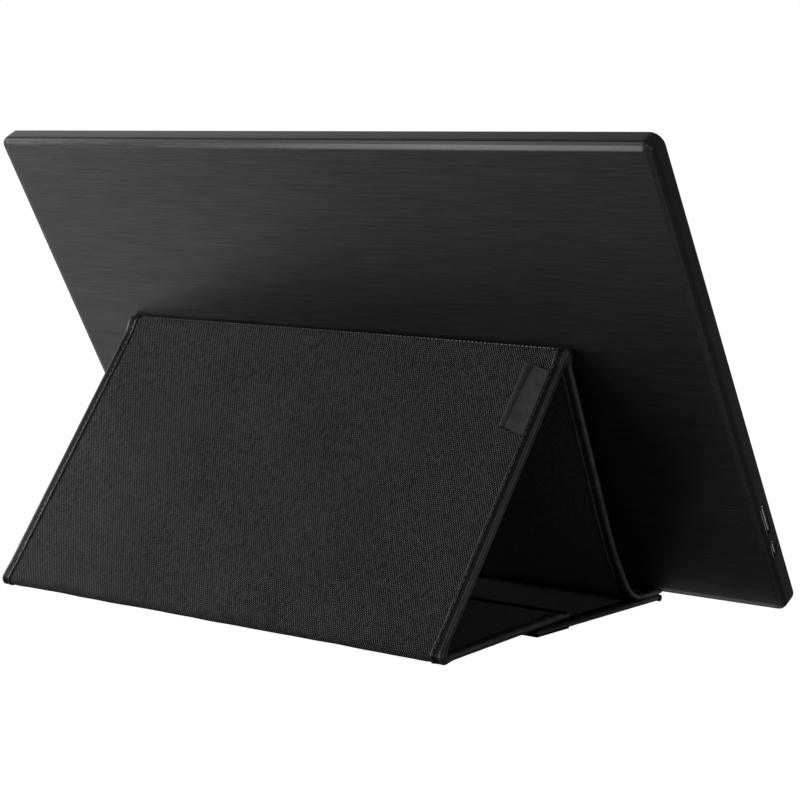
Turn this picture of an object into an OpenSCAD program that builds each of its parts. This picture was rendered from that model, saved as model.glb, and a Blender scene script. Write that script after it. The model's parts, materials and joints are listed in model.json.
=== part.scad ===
// Portable monitor leaning in its folded fabric cover.
// +X is to the right of somebody facing the screen, +Y is to the rear, +Z is up.
// The origin is on the ground, under the middle of the whole.

/* [Monitor case] */
// Width of the frame at each side of the picture area
side_w = 18.85; // [14:0.05:25]
// Height of the frame above the picture area
brow_h = 17.4; // [12:0.1:25]
// Height of the frame below the picture area
chin_h = 25.5; // [24:0.1:28]
// Thickness of the case
case_t = 9.2; // [8.3:0.1:10]
// Radius of the four corners of the outline
corner_r = 6; // [5:0.5:10]
// Thickness of the front frame's walls
frame_wall = 1.6; // [1.3:0.1:1.8]
// Thickness of the front face round the screen
bezel_t = 1.1; // [0.9:0.1:1.3]
// Depth of the seam between back cover and frame, from the back face
seam_d = 1.9; // [1.8:0.1:2.2]
// How far the frame's walls draw in towards the seam
frame_draft = 0.5; // [0.2:0.1:0.8]
// Depth of the drawn-in part of the walls, from the seam
draft_d = 2.1; // [1.5:0.1:3]
// Bevel round the edge of the front face
front_bevel = 0.4; // [0.2:0.1:0.8]
// Width of the ledge at the seam
ledge_w = 1.1; // [0.8:0.1:1.4]
// Width of the sloping edge round the back face
slope_w = 2.6; // [2:0.1:5]
// Depth of the sloping edge
slope_d = 1.3; // [1:0.1:1.6]
// Thickness of the back cover's floor
back_t = 1.2; // [1:0.1:1.4]
// Thickness of the tongue that centres the back cover in the frame
tongue_t = 1; // [0.8:0.1:1.2]
// Depth of the end of that tongue, from the back face
tongue_d = 3.9; // [3.4:0.1:4]

/* [Screen] */
// Width of the picture area
view_w = 344.2; // [300:0.1:380]
// Height of the picture area
view_h = 193.6; // [170:0.1:215]
// Border of the glass at the sides and top
glass_edge = 4; // [3:0.1:5]
// Border of the glass at the bottom
glass_foot = 9; // [8:0.1:10]
// Thickness of the liquid crystal cell
cell_t = 1.25; // [1:0.05:1.3]
// Thickness of the stack of diffuser films
films_t = 0.5; // [0.3:0.1:0.6]
// Thickness of the light guide plate
guide_t = 0.8; // [0.6:0.1:0.9]
// Thickness of the reflector sheet
reflector_t = 0.2; // [0.1:0.1:0.3]
// Thickness of the backlight tray's sheet metal
tray_t = 0.3; // [0.2:0.1:0.4]
// Height of the light strip along the bottom of the tray
strip_h = 2.6; // [2:0.1:3]
// Thickness of the adhesive tape between glass and frame
tape_t = 0.25; // [0.1:0.05:0.3]
// Width of that tape
tape_w = 2; // [1.5:0.1:2.5]

/* [Boards] */
// Thickness of the circuit boards
board_pcb_t = 0.8; // [0.6:0.1:1]
// Width of the main board
main_w = 81; // [70:1:100]
// Height of the main board
main_h = 54; // [48:1:70]
// Height of the main board's lower edge above the bottom of the case
main_low = 21; // [18:1:26]
// Height of the posts that carry the main board
post_h = 0.3; // [0.2:0.1:0.4]
// Radius of those posts
post_r = 2.6; // [2.2:0.1:3]
// Thread radius of the board screws
screw_r = 1; // [0.8:0.1:1.2]
// Depth of the screw holes in the back cover
screw_hole_d = 1.1; // [0.9:0.1:1.2]
// Head radius of the board screws
head_r = 1.9; // [1.6:0.1:2.1]
// Head height of the board screws
head_h = 0.6; // [0.4:0.1:0.8]
// Distance of the screws from the board's edges
screw_edge = 3.5; // [3:0.1:5]
// Width of the shield can
shield_w = 46; // [36:1:52]
// Height of the shield can
shield_h = 34; // [26:1:38]
// Depth of the shield can
shield_t = 1.3; // [1:0.1:1.5]
// Distance of the shield can's middle from the main board's middle
shield_shift = 4; // [0:0.5:6]
// Width of the panel's driver board
driver_w = 220; // [180:1:260]
// Height of the panel's driver board
driver_h = 11; // [9:0.5:14]
// Height of the driver board's lower edge above the glass's lower edge
driver_up = 14; // [12:0.5:18]
// Distance of the driver board from the main board
driver_away = 12; // [10:0.5:20]
// Width of the flat cable between the two boards
flex_w = 9; // [7:0.5:10]
// Thickness of the flat cable
flex_t = 0.2; // [0.1:0.1:0.3]
// Length of the flat cable that lies on each board
flex_hold = 6; // [4:0.5:8]

/* [Sockets] */
// Length of the larger socket
video_w = 15; // [12:0.1:17]
// Height of the larger socket's middle above the bottom of the case
video_at = 48.6; // [46:0.1:56]
// Length of the smaller socket
usb_w = 8; // [7:0.1:10]
// Height of the smaller socket's middle above the bottom of the case
usb_at = 33; // [30:0.1:36]
// Thickness of the sockets across the case
socket_t = 3.2; // [2.8:0.1:3.4]
// Depth of the sockets into the case
socket_in = 8.6; // [7:0.1:9]
// Sheet metal of the socket shells
shell_t = 0.3; // [0.2:0.05:0.4]
// How far the socket mouths sit behind the side wall's face
mouth_in = 0.5; // [0.3:0.1:1]
// How far the contact blades sit behind the socket mouths
blade_in = 1.2; // [0.8:0.1:2]
// Room beyond each end of a contact blade
blade_end = 2; // [1.5:0.1:2.5]
// Thickness of the contact blades
blade_t = 0.7; // [0.5:0.1:1]

/* [Buttons] */
// Length of a button's face
button_w = 9; // [7:0.1:10]
// Height of a button's face
button_h = 3.2; // [2.6:0.1:3.6]
// Height of the buttons' middle line above the bottom of the case
button_at = 8.2; // [7.6:0.1:9]
// Spacing of the buttons
button_pitch = 14; // [12:0.5:15]
// Middle of the button nearest the corner, from the side of the case
button_edge = 15; // [12:0.5:20]
// How far a button stands out of the front face
button_proud = 0.3; // [0.1:0.1:0.5]
// Travel of a button
button_travel = 0.4; // [0.2:0.1:0.5]
// Flange round the foot of a button
button_flange = 0.8; // [0.5:0.1:1]
// Thickness of that flange
flange_t = 0.6; // [0.4:0.1:0.8]
// Radius of the stem that a button presses its switch with
stem_r = 1.2; // [0.8:0.1:1.4]
// Height of the switches under the buttons
switch_h = 0.7; // [0.5:0.1:0.8]
// Length of a switch
switch_l = 4; // [3:0.1:5]
// Width of a switch
switch_w = 3; // [2:0.1:3.4]
// Radius of the status light
light_r = 0.75; // [0.5:0.05:1]
// Distance of the status light from the last button's middle
light_away = 9; // [7:0.5:12]
// How far the key board reaches past the last button and the light
key_margin = 2; // [1.5:0.5:4]

/* [Stand] */
// Lean of the monitor from upright, in degrees
lean = 29.14; // [26:0.01:32]
// Slope of the straight part of the front leg, in degrees
leg_slope = 67.3; // [65:0.1:69]
// Slope of the rear panel, in degrees
rear_slope = 53.1; // [50:0.1:56]
// Straight length of the front leg
leg_straight = 84.5; // [76:0.1:90]
// Radius of the bend under the leg
trough_bend_r = 14; // [12:0.5:18]
// Start of that bend, to the rear of the back face's foot
bend_at = 6.2; // [5:0.1:8]
// Slope at which the bend passes into the leg, in degrees
bend_slope = 56; // [50:0.5:62]
// Length of the slightly curved foot of the leg
leg_foot = 36; // [26:0.5:40]
// Height of the lip in front of the screen frame
lip_h = 7; // [4:0.5:9]
// Radius of the lip's bend
lip_bend_r = 3; // [2:0.1:3.4]

/* [Cover] */
// Width of the cover
cover_w = 266.5; // [240:0.5:280]
// Distance of the cover's middle from the monitor's middle
cover_shift = 13; // [0:0.5:30]
// Thickness of the stiffening boards
board_t = 1; // [0.8:0.1:1.2]
// Thickness of the woven fabric and of the lining
skin_t = 0.5; // [0.3:0.1:0.6]
// Thickness of the edge binding
binding_t = 0.35; // [0.2:0.05:0.4]
// Width of the edge binding on each face
binding_w = 5.8; // [3.5:0.1:6.5]
// Reach of the base panel to the rear of the bend
base_reach = 83; // [76:0.5:90]
// Radius of the rolled hem along the base's front edge
hem_r = 1.6; // [1.4:0.05:1.6]
// Width of the pad under the base's rear end
pad_w = 24; // [16:0.5:30]
// Thickness of that pad
pad_t = 0.45; // [0.3:0.05:0.6]
// How far the flap lies over the base
flap_overlap = 24; // [18:0.5:30]
// Width of the seam that joins the trough to the base
front_seam_w = 4; // [3:0.5:6]

/* [Folds] */
// Radius of the rolled fold along the ridge
ridge_r = 3; // [2.6:0.1:3.4]
// How much fuller the rear fold is than the panels it joins
rear_fullness = 0.5; // [0:0.1:0.8]

/* [Label] */
// Width of the bare label tab
label_w = 14; // [9:0.5:18]
// Length of the label tab
label_l = 32; // [24:0.5:40]
// Thickness of the label tab where it leaves the binding
label_t = 0.9; // [0.6:0.1:1.2]
// Thickness of the tab's folded edge, which stands up from the fabric
label_rise = 2.6; // [1.5:0.1:4]
// Distance of the label tab from the ridge
label_down = 6; // [4:0.5:20]

/* [Magnets] */
// Radius of the closing magnets
magnet_r = 5; // [4:0.5:7]
// Number of closing magnets in each panel
magnet_n = 3; // [2:1:5]
// Distance of the magnets' middle line from the flap's free edge
magnet_in = 12; // [9:0.5:14]

/* [Clearances] */
// Gap between monitor and cover
rest_gap = 0.3; // [0.2:0.05:0.5]
// Gap between rolled folds and the panels that turn round them
fold_gap = 0.3; // [0.2:0.05:0.5]
// Gap round parts that are glued, wrapped or pressed in place
snug_gap = 0.05; // [0.02:0.01:0.1]
// Gap between flat parts that lie on one another
face_gap = 0.1; // [0.05:0.01:0.2]
// Gap between parts that slip into one another
slip_gap = 0.2; // [0.1:0.05:0.3]
// Running gap round a button
button_gap = 0.15; // [0.1:0.01:0.2]

/* [Hidden] */
$fn = 48;
// Thickness of the slices that a loft is drawn through
eps = 0.01;
// How far a cut runs past the face it opens
over = 1;
// Largest turn between two points of a bent layer, in degrees
fold_step = 7;
// Smallest corner radius of an inner outline
least_r = 1.2;

// Half thickness of a panel's core and of its bound edge
half_core = board_t / 2 + skin_t;
half_edge = half_core + binding_t;

// The case fits round the picture area
case_w = view_w + 2 * side_w;
case_h = chin_h + view_h + brow_h;

// ---- Side profile of the cover, as [y, z] before the whole is centred ----

// Where a stretch of length l ends that starts at p in direction a and turns by b degrees
function stretch_end(p, a, l, b) =
    b == 0 ? p + l * [cos(a), sin(a)]
           : p + l / b * 180 / PI * [sin(a + b) - sin(a), cos(a) - cos(a + b)];

// Points along a run of stretches [length, turn], each with its direction as third value
function trace(p, a, runs, i = 0) =
    i == len(runs)
    ? [[p.x, p.y, a]]
    : let (l = runs[i][0], b = runs[i][1], n = max(1, ceil(abs(b) / fold_step)))
      concat(
          [for (k = [0 : n - 1]) let (q = stretch_end(p, a, l * k / n, b * k / n)) [q.x, q.y, a + b * k / n]],
          trace(stretch_end(p, a, l, b), a + b, runs, i + 1)
      );
function last_point(pts) = let (q = pts[len(pts) - 1]) [q.x, q.y];
function arc_length(r, b) = r * abs(b) * PI / 180;
function unit(a) = [cos(a), sin(a)];

// The base lies lowest, then the trough's floor above it
base_mid = pad_t + half_edge;
floor_mid = base_mid + 2 * half_edge + face_gap;

// The bend behind the trough starts here; the leg turns about the end of that bend
bend_start = [bend_at, floor_mid];
leg_axis = stretch_end(bend_start, 0, arc_length(trough_bend_r, bend_slope), bend_slope);
leg_roll_r = half_edge;
leg_start = leg_roll_r + fold_gap;

// The leg runs up to the ridge, and the ridge stays clear of the leg and the rear panel
leg_runs = [[leg_foot, leg_slope - bend_slope], [leg_straight, 0]];
ridge_axis = last_point(trace(leg_axis, bend_slope, leg_runs));
ridge_clear = ridge_r + fold_gap;

// The rear panel comes down to its fold, whose axis lies on the inner faces of both panels
rear_fold_r = 2 * half_edge + rear_fullness;
rear_fold_z = rear_fold_r;
rear_clear = rear_fold_r + fold_gap;
rear_l = (ridge_axis.y - rear_fold_z - half_edge * cos(rear_slope)) / sin(rear_slope);
rear_foot = ridge_axis + rear_l * unit(-rear_slope);
rear_axis = rear_foot - half_edge * unit(90 - rear_slope);

// The flap rises from that fold until it lies on the base's rear end
base_rear = bend_start.x + base_reach;
flap_run = rear_axis.x - base_rear;
flap_climb = base_mid + half_edge + rest_gap - rear_axis.y;
flap_rise = asin(2 * half_edge / norm([flap_run, flap_climb])) + atan(flap_climb / flap_run);
flap_l = (flap_run + flap_overlap) / cos(flap_rise);
flap_dir = 180 - flap_rise;
flap_root = rear_axis + half_edge * unit(flap_dir + 90);

// The monitor stands on the trough's floor and leans on the ridge
foot_h = frame_draft * cos(lean) + seam_d * sin(lean);
mon_z = floor_mid + half_edge + rest_gap - foot_h;
mon_y = ridge_axis.x - (ridge_clear + rest_gap - fold_gap + sin(lean) * (ridge_axis.y - mon_z)) / cos(lean);

// The lip's bend wraps round the front edge of the frame
lip_c_d = case_t + rest_gap + half_edge - lip_bend_r;
lip_c_z = floor_mid + lip_bend_r;
lip_c = [mon_y - (lip_c_d - sin(lean) * (lip_c_z - mon_z)) / cos(lean), lip_c_z];
lip_top = lip_c + lip_bend_r * unit(180 - lean) + lip_h * unit(90 - lean);
trough_flat = bend_start.x - lip_c.x;
trough_arc = arc_length(trough_bend_r, bend_slope);
trough_cut = leg_start / trough_arc;

trough_path = trace(lip_top, 270 - lean, [
    [lip_h, 0],
    [arc_length(lip_bend_r, 90 + lean), 90 + lean],
    [trough_flat, 0],
    [trough_arc * (1 - trough_cut), bend_slope * (1 - trough_cut)]
]);
foot_turn = leg_slope - bend_slope;
foot_cut = leg_start / leg_foot;
leg_path = trace(
    stretch_end(leg_axis, bend_slope, leg_start, foot_turn * foot_cut),
    bend_slope + foot_turn * foot_cut,
    [[leg_foot - leg_start, foot_turn * (1 - foot_cut)], [leg_straight - ridge_clear, 0]]
);
rear_path = trace(ridge_axis + ridge_clear * unit(-rear_slope), -rear_slope,
    [[rear_l - ridge_clear - rear_clear, 0]]);
flap_path = trace(flap_root + rear_clear * unit(flap_dir), flap_dir, [[flap_l - rear_clear, 0]]);
base_front = lip_c.x + hem_r + snug_gap;
base_path = trace([base_front, base_mid], 0, [[base_rear - base_front, 0]]);

// The whole is centred between the lip's front and the rear fold
front_y = lip_c.x - lip_bend_r - half_edge;
rear_y = rear_axis.x + rear_fold_r;
middle_y = (front_y + rear_y) / 2;

// Ends of the cover along X
cover_x0 = cover_shift - cover_w / 2;
cover_x1 = cover_shift + cover_w / 2;
core_in = binding_t + snug_gap;

// ---- Depths inside the monitor, from its back face towards the screen ----
edge_in = frame_draft + ledge_w + slope_w;
cavity_in = frame_draft + frame_wall;
tongue_in = cavity_in + slip_gap;
inside_d = case_t - bezel_t;
cell_d = inside_d - tape_t - cell_t;
films_d = cell_d - films_t;
guide_d = films_d - guide_t;
reflector_d = guide_d - reflector_t;
tray_d = reflector_d - tray_t;
cell_w = view_w + 2 * glass_edge;
cell_low = chin_h - glass_foot;
cell_high = chin_h + view_h + glass_edge;
tray_w = cell_w + 2 * (slip_gap + tray_t);
main_d = back_t + post_h;
main_x = -case_w / 2 + tongue_in + tongue_t + slip_gap;
socket_d = main_d + board_pcb_t;
mouth_x = -case_w / 2 + mouth_in;
driver_d = tray_d - face_gap - board_pcb_t;
driver_x = main_x + main_w + driver_away;
driver_low = cell_low + driver_up;
key_d = tongue_d + slip_gap;
button_x = case_w / 2 - button_edge;
light_x = button_x - 2 * button_pitch - light_away;

// ---- Helpers ----

// Rounded rectangle about its middle
module rounded(w, h, r) {
    square([w - 2 * r, h], center = true);
    square([w, h - 2 * r], center = true);
    for (sx = [-1, 1], sy = [-1, 1])
        translate([sx * (w / 2 - r), sy * (h / 2 - r)]) circle(r);
}

// Plate with the outline of the case, drawn in by inset, between two depths
module case_plate(inset, d0, d1) {
    translate([0, case_h / 2, d0]) linear_extrude(d1 - d0)
        rounded(case_w - 2 * inset, case_h - 2 * inset, max(corner_r - inset, least_r));
}

// Convex body through several outlines of the case, each given as [inset, depth]
module case_loft(stations) {
    hull() for (s = stations) case_plate(s[0], s[1] - eps / 2, s[1] + eps / 2, $fn = 32);
}

// Box from corner to corner
module block(p, q) { translate(p) cube(q - p); }

// Puts a profile in the y-z plane and draws it out from x0 to x1
module along_x(x0, x1) { translate([x0, 0, 0]) rotate([90, 0, 90]) linear_extrude(x1 - x0) children(); }

// A part of the monitor, modelled lying on its back with its height along Y
module in_monitor() {
    translate([0, mon_y - middle_y, mon_z]) rotate([90 - lean, 0, 0]) children();
}

// Side profile of a layer that follows a path, between two offsets from its middle
module layer_profile(path, low, high) {
    polygon(concat(
        [for (q = path) [q.x, q.y] + high * unit(q[2] + 90)],
        [for (i = [len(path) - 1 : -1 : 0]) [path[i].x, path[i].y] + low * unit(path[i][2] + 90)]
    ));
}

// One layer of a cover panel
module layer(path, low, high, x0, x1) {
    translate([0, -middle_y, 0]) along_x(x0, x1) layer_profile(path, low, high);
}
module core_layer(path, low, high) { layer(path, low, high, cover_x0 + core_in, cover_x1 - core_in); }
module board(path) { core_layer(path, -board_t / 2, board_t / 2); }
module outer_skin(path) { core_layer(path, board_t / 2, half_core); }
module inner_skin(path) { core_layer(path, -half_core, -board_t / 2); }

// Binding folded round both ends of a panel
module binding(path) {
    difference() {
        union() {
            layer(path, -half_edge, half_edge, cover_x0, cover_x0 + binding_w);
            layer(path, -half_edge, half_edge, cover_x1 - binding_w, cover_x1);
        }
        layer(longer(path), -half_core - snug_gap, half_core + snug_gap,
            cover_x0 + binding_t, cover_x1 - binding_t);
    }
}

// The same path, drawn out a little past both its ends
function longer(path) = let (p = path[0], q = path[len(path) - 1])
    concat([[p.x - cos(p[2]), p.y - sin(p[2]), p[2]]], path, [[q.x + cos(q[2]), q.y + sin(q[2]), q[2]]]);

// Rolled fabric along a fold
module roll(axis, r) {
    translate([cover_x0, axis.x - middle_y, axis.y]) rotate([0, 90, 0]) cylinder(r = r, h = cover_w);
}

// Closing magnets set into a board, at a distance along its path from its end
module magnet_row(path, grow = 0) {
    q = path[len(path) - 1];
    for (i = [0 : magnet_n - 1])
        translate([cover_x0 + cover_w * (i + 0.5) / magnet_n, q.x - middle_y, q.y]) rotate([q[2], 0, 0])
            translate([0, -magnet_in, -board_t / 2 - grow])
                cylinder(r = magnet_r + grow, h = board_t + 2 * grow);
}

// ---- Monitor ----

module socket_clearance(at, w) {
    along_x(-case_w / 2 - over, mouth_x + socket_in + slip_gap)
        translate([at, socket_d + socket_t / 2])
            rounded(w + 2 * slip_gap, socket_t + 2 * slip_gap, socket_t / 2);
}
module both_socket_clearances() {
    socket_clearance(video_at, video_w);
    socket_clearance(usb_at, usb_w);
}

module screw_places() {
    for (sx = [screw_edge, main_w - screw_edge], sy = [screw_edge, main_h - screw_edge])
        translate([main_x + sx, main_low + sy, 0]) children();
}

module back_cover() {
    color("#2b2b2d") in_monitor() difference() {
        union() {
            difference() {
                union() {
                    case_loft([[edge_in, eps / 2], [frame_draft + ledge_w, slope_d],
                        [frame_draft + ledge_w, seam_d - eps / 2]]);
                    case_plate(tongue_in, back_t, tongue_d);
                }
                case_plate(tongue_in + tongue_t, back_t, tongue_d + over);
            }
            screw_places() cylinder(r = post_r, h = main_d);
        }
        screw_places() translate([0, 0, main_d - screw_hole_d]) cylinder(r = screw_r, h = screw_hole_d + over);
        both_socket_clearances();
    }
}

module button_places() {
    for (i = [0 : 2]) translate([button_x - i * button_pitch, button_at, 0]) children();
}

module front_frame() {
    color("#1d1d1f") in_monitor() difference() {
        case_loft([[frame_draft, seam_d + eps / 2], [0, seam_d + draft_d], [0, case_t - front_bevel],
            [front_bevel, case_t - eps / 2]]);
        case_plate(cavity_in, seam_d - over, inside_d);
        block([-view_w / 2, chin_h, 0], [view_w / 2, chin_h + view_h, case_t + over]);
        both_socket_clearances();
        button_places() linear_extrude(case_t + over)
            rounded(button_w + 2 * button_gap, button_h + 2 * button_gap, button_h / 2);
        translate([light_x, button_at, 0]) cylinder(r = light_r + snug_gap, h = case_t + over);
    }
}

module lcd_cell() {
    color("#0b0c10") in_monitor()
        block([-cell_w / 2, cell_low, cell_d], [cell_w / 2, cell_high, cell_d + cell_t]);
}

module panel_tray() {
    low = cell_low - slip_gap - tray_t;
    high = cell_high + slip_gap + tray_t;
    color("#9a9da1") in_monitor() difference() {
        block([-tray_w / 2, low, tray_d], [tray_w / 2, high, cell_d + cell_t]);
        block([-tray_w / 2 + tray_t, low + tray_t, tray_d + tray_t],
            [tray_w / 2 - tray_t, high - tray_t, case_t]);
    }
}

module backlight_sheet(d, t, low) {
    in_monitor() block([-cell_w / 2, low, d], [cell_w / 2, cell_high, d + t]);
}
guide_low = cell_low + strip_h + slip_gap;
module reflector_sheet() { color("#e8e8e8") backlight_sheet(reflector_d, reflector_t, cell_low); }
module light_guide() { color("#dfeef0") backlight_sheet(guide_d, guide_t, guide_low); }
module diffuser_films() { color("#f4f4f4") backlight_sheet(films_d, films_t, cell_low); }

module led_strip() {
    color("#f2e9b8") in_monitor()
        block([-cell_w / 2, cell_low, guide_d], [cell_w / 2, cell_low + strip_h, guide_d + guide_t]);
}

module panel_tape() {
    color("#151515") in_monitor() translate([0, 0, inside_d - tape_t]) linear_extrude(tape_t)
        translate([0, (cell_low + cell_high) / 2]) difference() {
            square([cell_w, cell_high - cell_low], center = true);
            square([cell_w - 2 * tape_w, cell_high - cell_low - 2 * tape_w], center = true);
        }
}

module driver_board() {
    color("#1f5a34") in_monitor() block([driver_x, driver_low, driver_d],
        [driver_x + driver_w, driver_low + driver_h, driver_d + board_pcb_t]);
}

// The cable lies on the main board's face and rises to pass under the driver board
module panel_flex() {
    edge = main_x + main_w;
    top = driver_d - flex_t;
    under = [[edge - flex_hold, socket_d], [edge, socket_d], [driver_x, top], [driver_x + flex_hold, top]];
    color("#d8d8dc") in_monitor() translate([0, driver_low + (driver_h + flex_w) / 2, 0])
        rotate([90, 0, 0]) linear_extrude(flex_w)
            polygon(concat(under, [for (i = [len(under) - 1 : -1 : 0]) under[i] + [0, flex_t]]));
}

module main_board() {
    color("#1f5a34") in_monitor() difference() {
        block([main_x, main_low, main_d], [main_x + main_w, main_low + main_h, main_d + board_pcb_t]);
        screw_places() cylinder(r = screw_r + snug_gap, h = case_t);
    }
}

module shield_can() {
    x = main_x + (main_w - shield_w) / 2 + shield_shift;
    y = main_low + (main_h - shield_h) / 2;
    color("#b9bbbd") in_monitor() difference() {
        block([x, y, socket_d], [x + shield_w, y + shield_h, socket_d + shield_t]);
        block([x + tray_t, y + tray_t, socket_d - over],
            [x + shield_w - tray_t, y + shield_h - tray_t, socket_d + shield_t - tray_t]);
    }
}

module board_screws() {
    color("#8c8f92") in_monitor() screw_places() {
        translate([0, 0, main_d - screw_hole_d + slip_gap])
            cylinder(r = screw_r - snug_gap, h = screw_hole_d - slip_gap + board_pcb_t);
        translate([0, 0, socket_d]) cylinder(r = head_r, h = head_h);
    }
}

module socket_shell(at, w) {
    end_r = socket_t / 2 - slip_gap;
    in_monitor() difference() {
        along_x(mouth_x, mouth_x + socket_in) translate([at, socket_d + socket_t / 2])
            rounded(w, socket_t, end_r);
        along_x(mouth_x - over, mouth_x + socket_in - shell_t) translate([at, socket_d + socket_t / 2])
            rounded(w - 2 * shell_t, socket_t - 2 * shell_t, end_r - shell_t);
    }
}
module socket_tongue(at, w) {
    low = socket_d + (socket_t - blade_t) / 2;
    in_monitor() block([mouth_x + blade_in, at - w / 2 + blade_end, low],
        [mouth_x + socket_in - shell_t, at + w / 2 - blade_end, low + blade_t]);
}
module video_socket() { color("#c4c6c8") socket_shell(video_at, video_w); }
module video_tongue() { color("#202022") socket_tongue(video_at, video_w); }
module usb_socket() { color("#c4c6c8") socket_shell(usb_at, usb_w); }
module usb_tongue() { color("#202022") socket_tongue(usb_at, usb_w); }

module key_board() {
    low = cavity_in + slip_gap;
    color("#1f5a34") in_monitor() block([light_x - light_r - key_margin, low, key_d],
        [button_x + button_w / 2 + key_margin, cell_low - 2 * slip_gap - tray_t, key_d + board_pcb_t]);
}
module key_switches() {
    color("#c9c9c9") in_monitor() button_places() translate([0, 0, key_d + board_pcb_t])
        linear_extrude(switch_h) square([switch_l, switch_w], center = true);
}
module status_light() {
    color("#e6e6ea") in_monitor() translate([light_x, button_at, key_d + board_pcb_t])
        cylinder(r = light_r, h = case_t - key_d - board_pcb_t);
}

module button(i) {
    foot_d = key_d + board_pcb_t + switch_h + button_travel + face_gap;
    flange_d = inside_d - flange_t - snug_gap;
    color("#2a2a2c") in_monitor() translate([button_x - i * button_pitch, button_at, 0]) {
        translate([0, 0, flange_d]) linear_extrude(case_t + button_proud - flange_d)
            rounded(button_w, button_h, button_h / 2 - face_gap);
        translate([0, 0, flange_d]) linear_extrude(flange_t)
            rounded(button_w + 2 * button_flange, button_h + 2 * button_flange, button_h / 2);
        translate([0, 0, foot_d]) cylinder(r = stem_r, h = flange_d + flange_t / 2 - foot_d);
    }
}
module power_button() { button(0); }
module plus_button() { button(1); }
module minus_button() { button(2); }

// ---- Cover ----

module base_board() { color("#4a4038") difference() { board(base_path); magnet_row(base_path, snug_gap); } }
module base_underside() { color("#1c1c1e") inner_skin(base_path); }
module base_lining() { color("#232325") outer_skin(base_path); }
module base_binding() { color("#161617") binding(base_path); }
module base_magnets() { color("#8f9296") magnet_row(base_path); }
module base_front_hem() { color("#161617") roll([lip_c.x, hem_r], hem_r); }
module base_end_pad() {
    color("#161617") translate([0, -middle_y, 0]) {
        block([cover_x0, base_rear - pad_w, 0], [cover_x1, base_rear, pad_t]);
        block([cover_x0 + binding_w + snug_gap, base_rear - pad_w, 0],
            [cover_x1 - binding_w - snug_gap, base_rear, base_mid - half_core]);
    }
}

// Seam allowance that joins the trough's floor to the base
module front_seam() {
    color("#161617") translate([0, base_front + slip_gap - middle_y, base_mid + half_core])
        block([cover_x0 + binding_w + slip_gap, 0, 0],
            [cover_x1 - binding_w - slip_gap, front_seam_w, floor_mid - base_mid - 2 * half_core]);
}

module trough_board() { color("#4a4038") board(trough_path); }
module trough_fabric() { color("#1c1c1e") outer_skin(trough_path); }
module trough_backing() { color("#232325") inner_skin(trough_path); }
module trough_binding() { color("#161617") binding(trough_path); }
module leg_fold_roll() { color("#1c1c1e") roll(leg_axis, leg_roll_r); }

module leg_board() { color("#4a4038") board(leg_path); }
module leg_fabric() { color("#1c1c1e") outer_skin(leg_path); }
module leg_lining() { color("#232325") inner_skin(leg_path); }
module leg_binding() { color("#161617") binding(leg_path); }
module ridge_roll() { color("#1c1c1e") roll(ridge_axis, ridge_r); }

module rear_board() { color("#4a4038") board(rear_path); }
module rear_fabric() { color("#1c1c1e") outer_skin(rear_path); }
module rear_lining() { color("#232325") inner_skin(rear_path); }
module rear_binding() { color("#161617") binding(rear_path); }
module rear_fold_roll() { color("#1c1c1e") roll(rear_axis, rear_fold_r); }

// Bare folded tab sewn on beside the binding, near the top of the rear panel; its fold stands up a little
module label_tab() {
    top = ridge_axis + (ridge_clear + label_down) * unit(-rear_slope);
    fold_r = label_rise / 2;
    color("#3a3a3c") translate([cover_x0 + binding_w + snug_gap, top.x - middle_y, top.y])
        rotate([-rear_slope, 0, 0]) translate([0, label_l, half_core]) rotate([90, 0, 0])
            linear_extrude(label_l) {
                polygon([[0, 0], [label_w - fold_r, 0], [label_w - fold_r, label_rise], [0, label_t]]);
                translate([label_w - fold_r, fold_r]) circle(fold_r);
            }
}

module flap_board() { color("#4a4038") difference() { board(flap_path); magnet_row(flap_path, snug_gap); } }
module flap_fabric() { color("#1c1c1e") outer_skin(flap_path); }
module flap_lining() { color("#232325") inner_skin(flap_path); }
module flap_binding() { color("#161617") binding(flap_path); }
module flap_magnets() { color("#8f9296") magnet_row(flap_path); }

back_cover();
front_frame();
lcd_cell();
diffuser_films();
light_guide();
reflector_sheet();
led_strip();
panel_tray();
panel_tape();
driver_board();
panel_flex();
main_board();
shield_can();
board_screws();
video_socket();
video_tongue();
usb_socket();
usb_tongue();
key_board();
key_switches();
status_light();
power_button();
plus_button();
minus_button();
base_board();
base_underside();
base_lining();
base_binding();
base_front_hem();
base_end_pad();
base_magnets();
front_seam();
trough_board();
trough_fabric();
trough_backing();
trough_binding();
leg_fold_roll();
leg_board();
leg_fabric();
leg_lining();
leg_binding();
ridge_roll();
rear_board();
rear_fabric();
rear_lining();
rear_binding();
label_tab();
rear_fold_roll();
flap_board();
flap_fabric();
flap_lining();
flap_binding();
flap_magnets();
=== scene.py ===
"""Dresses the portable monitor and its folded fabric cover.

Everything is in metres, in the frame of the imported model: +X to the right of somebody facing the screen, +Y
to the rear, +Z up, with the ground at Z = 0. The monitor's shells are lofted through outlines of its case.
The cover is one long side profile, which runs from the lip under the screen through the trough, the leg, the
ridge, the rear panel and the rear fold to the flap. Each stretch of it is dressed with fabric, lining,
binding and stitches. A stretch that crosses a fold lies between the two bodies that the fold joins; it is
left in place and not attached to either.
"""

import json
import logging
import math
from dataclasses import dataclass
from enum import Enum
from typing import Callable, Iterable, Sequence

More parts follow.
